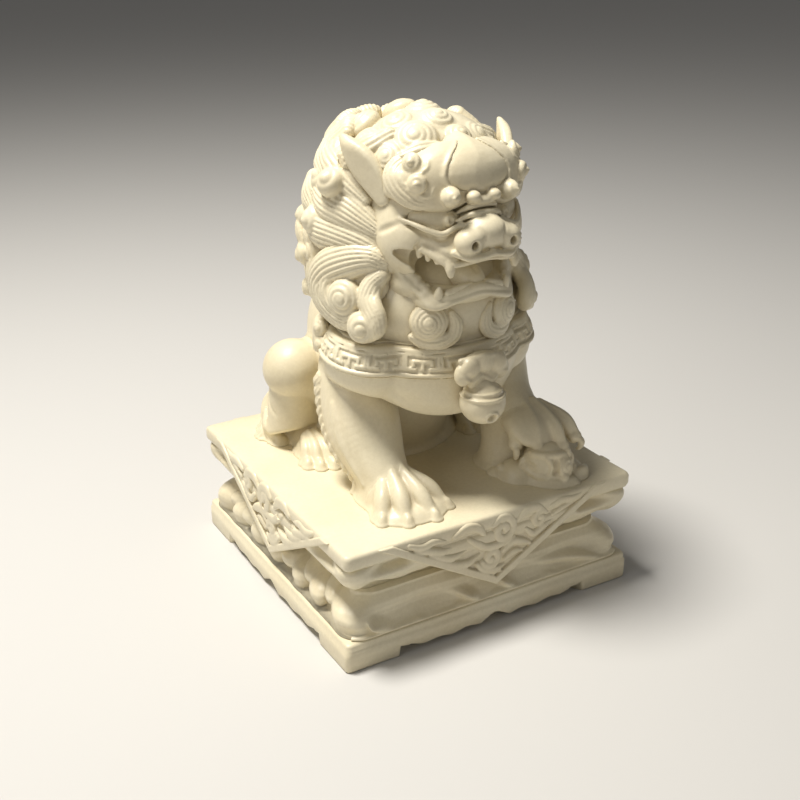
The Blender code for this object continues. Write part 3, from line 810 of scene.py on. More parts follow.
def nose():
    bulb = start("nose", (12, 12, 10))
    bulb.add(ball((0, -78.5, 234.5), (12.5, 10, 9.2)))
    bulb.add(ball((-12, -80, 231), (8, 7.8, 7.6), (0, 0, -14)), 3.2, both=True)
    bulb.add(rod([(0, -66, 238), (0, -76, 236)], [8, 7.5]), 4)
    bulb.add(rod([(-20, -78, 225.5), (-13, -83.5, 223), (-6, -85.5, 223.8), (0, -86, 225)],
                 [1.8, 2.1, 2.1, 1.9]), 1.4, both=True)
    bulb.cut(rod([(-12.6, -92, 229.5), (-12, -84, 231), (-11, -79, 232)], [2.4, 2.0, 1.4]), 1.0, both=True)
    nostril = [(-6, -88, 227), (-6.5, -88.5, 231), (-6, -87.5, 235), (-8, -84, 239)]
    bulb.groove(nostril, 1.0, 1.2, both=True)
    under = [(-18, -80, 227), (-12, -85.5, 225.6), (-5, -88, 226.5), (0, -88.5, 227.5)]
    bulb.groove(under, 0.9, 0.8, both=True)
    return bulb


def eye():
    globe = start("right_eye", (12, 10, 8))
    globe.add(ball((-22.7, -59.5, 240.3), (15.5, 7, 7.4), (0, 0, -39)))
    globe.add(ball((-17.6, -69.4, 241), (3.6, 2.8, 3.6)), 0.6)
    globe.cut(ball((-17.9, -72.4, 241.2), 1.6), 0.4)
    return globe


FOREHEAD = pillow((0, -32, 256.5), (43.5, 40.5, 27.5), 2.5)
DOME_LINE = ((252, -4), (255, 3), (257, 12), (260, 17.5), (265, 19), (270, 17), (275, 12.5), (280, 5),
             (284, 0))


def dome_edge(x, z):
    """How far a point is outside the dome's egg-shaped outline, seen from the front."""
    heights, widths = np.array(DOME_LINE).T
    return ((np.abs(x) - np.interp(z, heights, widths)) * 0.85).astype(np.float32)


def brow():
    """Half of the broad forehead: a plump shell over the eye with knobs and fine strands."""
    shell = start("right_brow", (18, 22, 14))
    x, y, z = shell.axes()
    edge = dome_edge(x, z)
    sill = 245.0 + 0.42 * np.maximum(-27 - x, 0) + 0.40 * np.maximum(x + 17, 0)
    crown_line = 283 - 0.011 * x * x
    shell.field = FOREHEAD.distance(x, y, z) - np.exp(-((edge - 1.8) / 1.2) ** 2)
    for limit, k in ((sill - z, 3), (z - crown_line, 4), (x - 1.0, 0), (y + 38 + 0.55 * (x + 40), 2),
                     (-0.4 - edge, 1.0)):
        shell.trim(limit, k)
    path = shell.cling([(-34, -48, 277), (-40, -47, 272), (-42, -50, 264), (-40, -56, 256), (-34, -63, 251),
                        (-27, -68, 250)], -1.0)
    shell.add(lock(path, [4, 6, 7.5, 7, 5.5, 3], [2, 2.4, 2.6, 2.4, 2.2, 1.4], (-5, -25, 258), 5, 0.7), 0.8)
    for spot, hand in (((-34, -56, 272), 1), ((-34, -63, 261), -1)):
        spot = shell.cling([spot], 0.6)[0]
        shell.add(curl(spot, spot - (0, -32, 257), 5.6, 3.2, 1.8, hand, 0.7, 1.2), 0.8)
    for strand in (((-38, -52, 268), (-39, -56, 262), (-36, -62, 255.5), (-29, -67, 254.5), (-26, -68, 259)),
                   ((-28, -64, 275), (-29, -65, 270), (-33, -63, 267))):
        shell.ridge(strand, 1.0, 0.8)
    shell.add(ball((-18.5, -72, 254), (5.8, 5, 5.6)), 1.5)
    shell.add(curl((-19, -75.2, 254.6), (-0.35, -0.93, 0.1), 4.2, 3.2, 1.4, 1, 0.5, 1.2), 0.6)
    return shell


def dome():
    """The broad smooth dome between the brows, with beads at its foot."""
    front = start("forehead", (14, 18, 14))
    x, y, z = front.axes()
    edge = dome_edge(x, z)
    front.field = FOREHEAD.distance(x, y, z) - 2.4 * np.clip(-edge / 12, 0, 1) ** 0.6
    front.trim(edge - 0.6, 1.0)
    front.balls(((-6.4, -75.2, 253.6), (4.0, 4.2, 3.3), 1.6), ((6.4, -75.2, 253.6), (4.0, 4.2, 3.3), 1.6),
                ((0, -72, 251), (9, 6, 3.4), 1.5))
    return front


def ear():
    """A broad smooth leaf that lies back along the side of the head."""
    leaf = start("right_ear", (16, 18, 14))
    x, y, z = leaf.axes()
    leaf.field = rod([(-42, -40, 250), (-44, -35, 259), (-47, -27, 268), (-50, -17, 277), (-51, -12.5, 281)],
                     [5, 8.2, 8.6, 4.2, 0.9]).distance(x, y, z)
    side = -0.90 * (x + 45.5) - 0.42 * (y + 30) - 0.06 * (z - 262)
    leaf.trim(np.abs(side) - 3.6, 2.4)
    leaf.cut(rod([(-57, -35, 254), (-59.5, -29, 264), (-59.5, -21, 273)], [7.4, 7, 4.4]), 2.5)
    return leaf


def beard():
    tuft = start("right_beard_curl", (14, 12, 14))
    tuft.add(curl((-25, -61.5, 183), (-0.45, -0.88, 0.1), 11, 6, 4.6, -1, 0.8, 0.9))
    tuft.add(lock([(-32, -56, 174), (-27, -60, 171), (-20, -64, 170.5), (-12, -66, 174), (-10, -66, 181),
                   (-13, -65.5, 188)],
                  [3, 4.5, 5, 5, 4.5, 2], [3, 3.2, 3.2, 3, 3, 2], (0, -30, 178), 4, 0.7), 1.0)
    return tuft


# The mane

LEFT_PULL = 0.91


def crown():
    """Snail curls over the top of the head."""
    cap = start("crown_curls", (16, 16, 14))
    cap.add(ball((0, -16, 254), (45, 43, 36.5)))
    x, y, z = cap.axes()
    cap.trim(262 - 0.35 * (y + 20) - z, 2)
    middle = np.array((0, -14, 246))
    both_sides = ((1, 1.0), (-1, LEFT_PULL))
    pairs = (((-20, -20, 282), 11.5, 3.6, 1), ((-20, -39, 277.5), 13, 4.0, -1),
             ((-34.5, -36, 269), 10.8, 4.0, 1), ((-36, -15, 273), 11, 3.6, -1),
             ((-45, 4, 266), 11, 3.4, 1), ((-28, 4, 280), 11, 3.6, 1))
    along_top = (((-2, -31, 285), 10.5, 3.4, 1), ((1, -12, 287), 11, 3.6, -1),
                 ((0, 10, 284), 11.5, 3.8, 1), ((3, -46, 279), 8, 2.6, -1))
    for curls, sides in ((pairs, both_sides), (along_top, both_sides[:1])):
        for centre, size, turns, hand in curls:
            for side, pull in sides:
                spot = middle + (np.array(centre) * (side, 1, 1) - middle) * pull
                wide = size * pull
                cap.add(curl(spot, spot - middle, wide, wide * 0.66, turns, hand * side, 0.6, 0.7), 1.2)
    for points, widths, thick, strands in (
            (((-46, -16, 270), (-40, -26, 276), (-30, -29, 281)), (6, 7, 5), (4, 5, 4), 4),
            (((-51, -2, 258), (-49, -12, 266), (-44, -24, 270)), (6, 7, 5), (4, 5, 4), 4),
            (((-14, -52, 276), (-24, -50, 275), (-32, -46, 272)), (4, 5, 3.5), (3, 3.4, 3), 3)):
        for side, pull in both_sides:
            path = middle + (np.array(points) * (side, 1, 1) - middle) * pull
            cap.add(lock(path, widths, thick, middle, strands, 0.8), 0.8)
    return cap


def mane_side():
    """Overlapping combed locks behind the ear, each ending in a round knob."""
    locks = start("right_mane_side", (18, 20, 18))
    locks.balls(((-40, 0, 252), (16, 30, 24), 0), ((-41, 4, 230), (18, 38, 22), 6),
                ((-42, 6, 205), (17, 32, 22), 6))
    hub = (-15, 0, 226)
    for points, widths, thick in (
            (((-54, 8, 247), (-56, -6, 245), (-52.5, -20, 241.5), (-46, -32, 235), (-38, -42, 228)),
             (8, 11.5, 11, 8, 4), (5, 5.5, 5, 4, 3)),
            (((-56, 18, 228), (-59, 1, 226), (-56, -16, 225), (-49, -30, 222), (-39, -42, 216)),
             (8, 11, 10.5, 9, 5), (5, 6, 5.5, 4.5, 3))):
        locks.add(lock(points, widths, thick, hub, 8, 0.85), 0.6)
    locks.add(ball((-45, -30, 213), (9, 13, 8)), 4)
    locks.add(lock([(-50, 4, 268), (-52, -6, 264), (-50, -18, 256), (-45, -29, 247)],
                   [7, 8, 7, 4], [4, 5, 4, 3], hub, 5, 0.8), 0.6)
    for spot, size in (((-57, -11, 254.5), 8.8), ((-60, 5, 230.5), 8.4), ((-58, 20, 207), 8),
                       ((-51, 9, 252), 8.6), ((-54, 25, 228), 8.2), ((-56, 20, 186), 6.5)):
        spot = np.array(spot, float)
        locks.add(curl(spot, spot - hub, size, size * 0.9, 1.8, 1, 0.55, 0.8), 0.6)
    locks.add(lock([(-53, 16, 219), (-57, 12, 206), (-58, 12, 196), (-56, 16, 184)],
                   [8, 10, 9, 5], [5, 5, 5, 4], hub, 7, 0.8), 0.8)
    for points in (((-44, 14, 272), (-49, 10, 264), (-52, 2, 257)),
                   ((-50, 26, 250), (-55, 20, 242), (-57, 10, 235)),
                   ((-51, 34, 226), (-56, 28, 218), (-58, 20, 210))):
        locks.add(lock(points, [7, 10, 6], [4, 5, 4], hub, 7, 0.8), 0.8)
    return locks


def mane_scroll():
    """The big lock that sweeps down into a scroll, and the thinner one beside it."""
    locks = start("right_mane_scroll", (18, 20, 20))
    hub = (-8, -5, 205)
    locks.add(ball((-42, -22, 200), (13, 22, 18)))
    locks.add(lock([(-41.5, -42, 214), (-47, -37, 216.5), (-54, -27, 214), (-60, -14, 207), (-62, -6, 197),
                    (-61.5, -9, 187), (-59.5, -20, 181), (-57.5, -30, 180.5), (-56.5, -37, 184)],
                   [5, 8, 11, 12, 12, 11, 9.5, 8, 5], [4, 5.5, 6.5, 7, 7, 6.5, 6, 5.5, 4],
                   hub, 8, 0.9), 1)
    locks.add(curl((-59, -28.5, 193.5), (-0.85, -0.5, 0.1), 11, 7.5, 3.2, 1, 0.8), 1.5)
    locks.add(lock([(-53, -26, 211), (-60, -17, 204), (-62.5, -15, 196), (-62, -20, 188), (-60, -28, 186)],
                   [3, 5.5, 6, 5.5, 3], [3, 5, 5.5, 5, 3], hub, 4, 0.9), 0.8)
    locks.add(lock([(-38, -40, 206), (-43.5, -42, 207.5), (-48.5, -40, 202), (-51.5, -42, 194),
                    (-51.5, -48.5, 187), (-51, -50, 180), (-52, -45, 174)],
                   [3, 5, 6.5, 7.5, 7, 5, 2.5], [3.5, 4.5, 5, 5, 5, 5, 3.5], hub, 6, 0.7), 0.8)
    locks.add(curl((-56, -42.5, 179.5), (-0.8, -0.6, 0.05), 9.4, 6.4, 2.2, -1, 0.9, 0.5), 1.2)
    locks.add(lock([(-54, 1, 176), (-59, 2, 169), (-60.5, 1, 160), (-60, 2, 150), (-60, 5, 141)],
                   [4, 6, 6.5, 5.5, 2], [4, 5, 5, 4, 2], hub, 5, 0.8), 1)
    for spot, size in (((-61.5, -2, 168), 5.6), ((-62, -4, 158.5), 5.6), ((-62, 0, 149), 4.8)):
        locks.add(curl(spot, (-0.93, -0.35, 0.05), size, size * 0.8, 2.0, 1, 0.6, 0.3), 0.8)
    return locks


def mane_back():
    """Tiers of curls and combed locks down the nape, out of the front view."""
    nape = Carving("mane_back", LION, (-76, -30, 150), (76, 96, 296))
    nape.balls(((0, 18, 236), (49, 38, 44), 0), ((0, 26, 205), (48, 34, 32), 10))
    hub = np.array((0, 0, 222))
    for tier, away in enumerate((48, 57, 62, 60)):
        odd = tier % 2
        for place in range(-3 + odd, 3):
            angle = (place + 0.5 * (1 - odd)) * 0.54
            spot = np.array((math.sin(angle) * (away - 5), math.cos(angle) * away - 2, 260 - tier * 25))
            top = spot * (0.84, 0.82, 1) + (0, 0, 20)
            side = spot + np.array((math.cos(angle), -math.sin(angle), 0)) * 6 + (0, 0, 10)
            nape.add(lock([top, side, spot + (0, 0, 2)], [11, 13, 8], [6, 7, 6], hub, 9, 0.8), 0.8)
            nape.add(curl(spot, spot - hub * (1, 1, 0) - (0, 0, spot[2]), 10.3, 7.8, 3.4,
                          1 if place % 2 else -1, 0.8, 1.0), 0.8)
    return nape


# Putting the lion together

def shape_lion():
    """Every carving of the lion, in the order they are joined, with the softness of each join."""
    neck = neck_and_chest()
    body = torso(neck)
    jobs = [(collar, neck), (plate,), (bell,), (foreleg,), (fore_paw,), (raised_leg,), (raised_paw,), (cub,),
            (hind_leg,), (hind_paw,), (tail,), (head,), (jaw,), (tongue,), (upper_teeth,), (lower_teeth,),
            (nose,), (eye,), (brow,), (dome,), (ear,), (beard,), (crown,), (mane_side,), (mane_scroll,),
            (mane_back,)]
    with ThreadPoolExecutor(4) as pool:
        made = list(pool.map(lambda job: job[0](*job[1:]), jobs))
    soft = {"head": 5, "right_foreleg": 1.5, "left_foreleg": 1.5, "right_hind_leg": 6,
            "left_hind_leg": 6, "right_fore_paw": 2.5, "left_fore_paw": 2, "right_hind_paw": 2,
            "left_hind_paw": 2, "lower_jaw": 1.5, "nose": 1.2}
    alone = ("right_foreleg", "right_fore_paw")
    rows = [(body, 0)]
    for piece in made:
        rows.append((piece, soft.get(piece.name, 0)))
        if piece.name.startswith("right_") and piece.name not in alone:
            twin = piece.flipped(piece.name.replace("right_", "left_"))
            rows.append((twin, soft.get(twin.name, 0)))
    return rows


FOOT_BLEND = 9
FOOT_SPREAD = 3.5
FOOT_SINK = 2.5
SHARE_OVERLAP = 0.5
LEVEL_STEP = 0.03


def join_lion(rows):
    """Cut each carving to its own share of the one joined surface, and mesh it."""
    size = tuple(LION.size)
    whole = np.full(size, FAR, np.float32)
    best, second = whole.copy(), whole.copy()
    owner = np.full(size, -1, np.int8)
    places = []
    for index, (piece, k) in enumerate(rows):
        place = tuple(slice(a, b) for a, b in zip(piece.first, piece.last))
        places.append(place)
        field = piece.field.astype(np.float32)
        whole[place] = soft_min(whole[place], field, k)
        wins = field < best[place]
        second[place] = np.where(wins, best[place], np.minimum(second[place], field))
        best[place] = np.where(wins, field, best[place])
        owner[place][wins] = index
    z = LION.axes([0, 0, 0], LION.size)[2]
    ground = z - (SLAB_TOP - 0.5)
    whole = np.maximum(soft_min(whole, ground, FOOT_BLEND), whole - FOOT_SPREAD)
    whole = np.maximum(whole, SLAB_TOP - FOOT_SINK - z).astype(np.float32)

    def cut_out(index):
        piece = rows[index][0]
        place = places[index]
        rival = np.where(owner[place] == index, second[place], best[place])
        field = np.maximum(whole[place] + LEVEL_STEP * (index % 5), piece.field - rival - SHARE_OVERLAP)
        skip = 2 if piece.name == "torso" else 1
        margin = (skip, 2 * skip)
        field = np.pad(field, margin, constant_values=FAR)[::skip, ::skip, ::skip]
        cells, quads = surface_net(field)
        cells *= skip
        # How much painted shade each vertex gets: darker in fine creases and in broad hollows
        around = np.pad(whole[place], margin, mode="edge")
        fine, broad = hollowness(around, cells, 3), hollowness(around, cells, 9)
        hollow = 0.65 * fine + 0.6 * np.maximum(broad, 0)
        vertices = (cells - skip + np.array(piece.first)) * STEP + LION.low
        return piece.name, vertices, quads, hollow

    with ThreadPoolExecutor(4) as pool:
        return list(pool.map(cut_out, range(len(rows))))


# The pedestal

PLINTH_TOP = 17.6
TIER_BOTTOM = 17.8
TIER_TOP = 40.2
MOULDING_BOTTOM = 40.0
MOULDING_CUT = 6.5
INSIDE = 60


def unit_square(count, roundness):
    """Points round a rounded square of half width 1, and each one's place along its side."""
    points, along, side_of = [], [], []
    for side in range(4):
        turn = side * math.pi / 2
        for step in range(count):
            u = -1 + 2 * (step + 0.5) / count
            u = math.copysign(1 - (1 - abs(u)) ** 1.15, u)
            over = max(0.0, abs(u) - (1 - roundness)) / roundness
            angle = over * math.pi / 4
            x = math.copysign(1 - roundness + roundness * math.sin(angle), u) if over else u
            y = -(1 - roundness + roundness * math.cos(angle)) if over else -1.0
            points.append((x * math.cos(turn) - y * math.sin(turn), x * math.sin(turn) + y * math.cos(turn)))
            along.append(u)
            side_of.append(side)
    return np.array(points), np.array(along), np.array(side_of)


def square_body(name, levels, count, roundness, shift):
    """A closed square solid from (half width, height) levels.

    shift gives how far each point of a level stands out, and how far it is lifted.
    """
    unit_points, along, side_of = unit_square(count, roundness)
    total = len(unit_points)
    rows = len(levels)
    vertices = []
    for row, (half, height) in enumerate(levels):
        swell, lift = shift(along, side_of, row, height)
        level = np.broadcast_to(height + lift, total)
        vertices.append(np.column_stack([unit_points * (half + swell)[:, None], level]))
    vertices = np.concatenate(vertices + [[(0, 0, levels[0][1]), (0, 0, levels[-1][1])]])
    ring = np.arange(total)
    after = (ring + 1) % total
    quads = np.concatenate([
        np.stack([low + ring, low + after, low + total + after, low + total + ring], 1)
        for low in range(0, (rows - 1) * total, total)])
    item = add_mesh(name, vertices, quads, np.zeros(len(vertices), np.float32))
    close_ends(item, total, rows)
    return item


def close_ends(item, total, rows):
    """Fan the first and last ring to their centre points."""
    shape = bmesh.new()
    shape.from_mesh(item.data)
    shape.verts.ensure_lookup_table()
    bottom, top = shape.verts[rows * total], shape.verts[rows * total + 1]
    last = (rows - 1) * total
    for here in range(total):
        after = (here + 1) % total
        shape.faces.new((bottom, shape.verts[after], shape.verts[here])).smooth = True
        shape.faces.new((top, shape.verts[last + here], shape.verts[last + after])).smooth = True
    shape.to_mesh(item.data)
    shape.free()


def wobble(u, side, seed, size):
    """A slow unevenness along a side, as of hand-finished work."""
    return size * (np.sin(u * 4.3 + side * 1.7 + seed) + 0.6 * np.sin(u * 9.1 + side * 2.9 + seed * 2))


def build_slab():
    half, top, bottom = SLAB_HALF, SLAB_TOP, SLAB_BOTTOM
    levels = [(INSIDE, bottom + 0.4), (half - 2.4, bottom + 0.2), (half - 1.0, bottom + 0.5),
              (half - 0.3, bottom + 1.3), (half, bottom + 2.6), (half, (top + bottom) / 2), (half, top - 2.4),
              (half - 0.35, top - 1.1), (half - 1.1, top - 0.3), (half - 2.3, top), (half - 8, top),
              (half - 30, top), (half - 70, top)]
    edge_rows = range(3, 9)

    def shift(u, side, row, height):
        edge = 1.0 if row in edge_rows else 0.0
        return wobble(u, side, 1.0, 0.22) * edge - 0.25, wobble(u, side, 4.0, 0.12) * edge - 0.12

    return square_body("top_slab_stone", levels, 100, 0.035, shift)


def lobe(u, z, u0, z0, ru, rz, rise):
    """A rounded boulder face standing out of the side."""
    d = ((u - u0) / ru) ** 2 + ((z - z0) / rz) ** 2
    return rise * np.maximum(1 - d, 0) ** 0.6


SIDE_ROCKS = ((-87, 27, 14, 11, 9.5), (-72, 33, 9, 8, 7.5), (-62, 25, 11, 9, 8.5), (-47, 31, 11, 10, 8.5),
              (-30, 26, 12, 9.5, 9), (-14, 33, 10, 8, 7), (-3, 26, 11, 9, 9), (15, 31, 11, 10, 8.5),
              (31, 25, 11, 9, 8.5), (44, 33, 10, 8, 7.5), (56, 27, 12, 10, 9), (72, 33, 9, 8, 7.5),
              (87, 27, 14, 11, 9.5))


def rock_shift(u, side, row, height):
    """Boulders on the lion's two flanks; in front and behind, a hollow face with flame edges."""
    x = u * 100
    facing = np.isin(side, (0, 2))
    flank = np.max([lobe(x, height, *rock) for rock in SIDE_ROCKS], axis=0) - 7.6
    bowl = -5.0 * math.exp(-((height - 28) / 6.5) ** 2) * (1 + 0.25 * np.sin(x * 0.11 + 1))
    flame = np.maximum(0, np.sin(x * 0.145 + height * 0.24 + 1.7 * np.sin(x * 0.063)))
    tongues = 7.0 * flame ** 2.5 * math.exp(-((height - 24) / 3.8) ** 2)
    face = np.where(facing, bowl + tongues, flank)
    corner = 1 / (1 + np.exp((89 - np.abs(x)) * 0.45))
    knob = 2.6 * math.exp(-((height - 26) / 6.5) ** 2) - 1.6
    swell = face * (1 - corner) + knob * corner
    sway = (0.8 * np.sin(x * 0.19) + 0.5 * np.sin(x * 0.47 + 1)) * (1 - corner)
    lip = np.where(facing, 19.6 + sway, PLINTH_TOP)
    ledge = np.clip((lip + 0.7 - height) / 1.4, 0, 1)
    swell = swell * (1 - ledge) + 0.7 * ledge
    return swell * (0.15 if height < TIER_BOTTOM + 0.1 else 1.0), 0


def build_lower_tier():
    heights = (TIER_BOTTOM, 19, 20.4, 22.5, 25, 28, 31, 34, 36.5, 38.5, TIER_TOP)
    halves = (98.8, 99.0, 98.0, 97.4, 97.6, 97.4, 96.4, 94.2, 91.4, 89.6, 89.0)
    side = [(float(np.interp(z, heights, halves)), float(z)) for z in np.linspace(TIER_BOTTOM, TIER_TOP, 46)]
    levels = [(INSIDE, 17.7), (97.2, 17.7)] + side + [(INSIDE, TIER_TOP)]
    return square_body("lower_tier_stone", levels, 150, 0.14, rock_shift)


def moulding_shift(u, side, row, height):
    """Pillowed corners, a sunk lens beside each, and a wavy lower edge."""
    x = np.abs(u * 100)
    lens = np.exp(-((x - 72) / 12) ** 4) * math.exp(-((height - 60.5) / 3.0) ** 2)
    edge = 46.5 + 3.2 * np.exp(-((x - 84) / 9) ** 2) + 2.2 * np.cos(x * 0.15)
    edge = edge + 2.6 * np.exp(-((x - 58) / 6) ** 2)
    under = 1 / (1 + np.exp((height - edge) * 1.3))
    return wobble(u, side, 2.0, 0.25) - MOULDING_CUT * lens - MOULDING_CUT * under, 0


def build_moulding():
    top = SLAB_BOTTOM + 0.2
    levels = [(INSIDE, MOULDING_BOTTOM)]
    for share in np.linspace(0, 1, 32):
        bulge = 90.5 + 9.3 * math.sin(min(1.0, max(0, share - 0.12) / 0.66) * math.pi / 2) ** 1.3
        bulge -= 2.6 * max(0.0, (share - 0.84) / 0.16) ** 2
        levels.append((bulge, MOULDING_BOTTOM + share * (top - MOULDING_BOTTOM)))
    levels.append((INSIDE, top))
    return square_body("upper_moulding_stone", levels, 130, 0.09, moulding_shift)


def apron_height(u):
    """How high the cut under the apron is: 0 under the feet, a wavy edge between them."""
    x = np.abs(u * 101)
    near_foot = 3.5 * np.clip((x - 40) / 27, 0, 1) ** 1.6
    cusp = 3.5 * np.clip(1 - x / 10, 0, 1) ** 0.7
    wave = 0.7 * np.cos(x * 0.31)
    return np.where(x < 67, 3 + near_foot + cusp + wave * (x < 60), 0.0)


def build_plinth():
    half, top = PLINTH_HALF, PLINTH_TOP
    apron = [(half - 8, 0.05), (half - 7.6, 0), (half - 1.2, 0), (half - 0.3, 0.4), (half, 1.2)]
    levels = [(INSIDE, 0), (half - 8.2, 0)] + apron
    levels += [(half, 8.5), (half, 12.6), (half - 0.7, 13.2), (half - 0.7, 16.2), (half - 1.2, 17.1),
               (half - 2.2, top), (half - 7, top), (INSIDE, top)]
    apron_rows = range(2, 2 + len(apron))
    ends = (0, len(levels) - 1)

    def shift(u, side, row, height):
        swell = np.zeros(len(u)) if row in ends else wobble(u, side, 3.0, 0.2) - 0.3
        return swell, apron_height(u) if row in apron_rows else 0

    return square_body("plinth_stone", levels, 220, 0.03, shift)


def spiral(x0, z0, radius, turns, hand, start_angle):
    """Points of a flat spiral that winds in to its centre."""
    path = []
    for share in np.linspace(0, 1, 14):
        angle = start_angle + hand * share * turns * 2 * math.pi
        r = radius * (1 - share * 0.86)
        path.append((x0 + math.cos(angle) * r, z0 + math.sin(angle) * r))
    return path


PANEL_CURVES = [
    ([(-60, 70), (-52, 67), (-44, 68), (-36, 66)], 1.8),
    ([(-56, 65), (-47, 63), (-38, 60), (-30, 61)], 1.8),
    ([(-46, 60), (-38, 56), (-30, 54), (-22, 56)], 1.8),
    ([(-36, 52), (-28, 48), (-20, 47), (-13, 50)], 1.9),
    ([(-30, 67), (-22, 70), (-14, 68), (-9, 62)], 2.2),
    (spiral(4, 62, 9, 1.5, -1, 2.6), 2.0),
    ([(14, 66), (20, 70), (28, 70), (34, 66)], 2.0),
    (spiral(30, 62, 5.5, 1.2, 1, 0.6), 1.7),
    ([(38, 68), (46, 70), (54, 69), (62, 71)], 1.8),
    ([(40, 62), (47, 65), (55, 66)], 1.6),
    ([(20, 58), (26, 53), (33, 56), (40, 59)], 1.8),
    (spiral(-4, 46, 6.5, 1.3, 1, 3.4), 1.9),
    ([(4, 48), (11, 52), (18, 50), (24, 47)], 1.9),
    ([(6, 42), (12, 45), (18, 44)], 1.7),
    ([(-14, 44), (-9, 39), (-2, 37), (5, 38)], 1.8),
    ([(-3, 34), (0, 36), (4, 34)], 1.5),
    ([(-20, 62), (-14, 58), (-8, 54), (2, 53), (12, 55)], 1.9),
]


def panel_carving(name, mirror_x, sunk, bold, drilled):
    """A pointed cloth corner with a raised border round a field of cloud scrolls."""
    lattice = Lattice((-PANEL_HALF - 3, PANEL_FACE - 2.6, PANEL_TIP - 3),
                      (PANEL_HALF + 3, PANEL_FACE + 8, SLAB_TOP + 2), 0.6)
    piece = Carving(name, lattice, lattice.low, lattice.low + 400)
    x, y, z = piece.axes()
    depth = y - PANEL_FACE
    slope = math.atan2(PANEL_HALF, SLAB_TOP - PANEL_TIP)
    edge = np.abs(x) * math.cos(slope) - (z - PANEL_TIP) * math.sin(slope)
    top = z - (SLAB_TOP - 0.5)
    outline = soft_max(edge, top, 0.6)
    back = depth - 6.2
    field_depth = soft_max(outline, np.maximum(sunk - depth, back), 0.8)
    border = soft_max(np.abs(edge + 2.4) - 2.4, top, 0.6)
    rim = soft_max(border, np.maximum(0.1 - depth, back), 1.0)
    piece.field = np.minimum(field_depth, rim).astype(np.float32)
    for points, width in PANEL_CURVES:
        path = [(px * mirror_x, PANEL_FACE + 2.6, pz) for px, pz in points]
        wide = width * bold
        piece.add(rod(path, [wide * 0.75] + [wide] * (len(path) - 2) + [wide * 0.5]), 0.4)
    piece.trim(0.2 - depth, 0.9)
    piece.trim(outline, 0.3)
    if drilled:
        for hole_x, hole_z in ((-26, 58), (-6, 57), (16, 60), (0, 42), (34, 61), (-42, 66), (10, 68)):
            piece.cut(ball((hole_x, PANEL_FACE + 1.6, hole_z), (1.8, 2.6, 1.8)), 0.6)
    return piece


def panel_meshes():
    front = panel_carving("cloth_panel", 1, 2.3, 1.4, False)
    flank = panel_carving("cloth_panel", -1, 3.4, 1.7, True)
    rows = []
    panels = (("front", front), ("left", flank), ("back", front), ("right", flank))
    for side, (name, piece) in enumerate(panels):
        field = np.pad(piece.field, 1, constant_values=FAR)
        cells, quads = surface_net(field)
        # How sunk each vertex is, for the painted shade in the stone's colour
        hollow = hollowness(field, cells, 3)
        vertices = (cells - 1) * piece.lattice.step + piece.lattice.low
        turn = side * math.pi / 2
        c, s = round(math.cos(turn)), round(math.sin(turn))
        vertices = vertices @ np.array([(c, s, 0), (-s, c, 0), (0, 0, 1)], float)
        rows.append(("cloth_panel_" + name, vertices, quads, hollow))
    return rows


# Cast ivory stone

TONE_STEP = 0.012


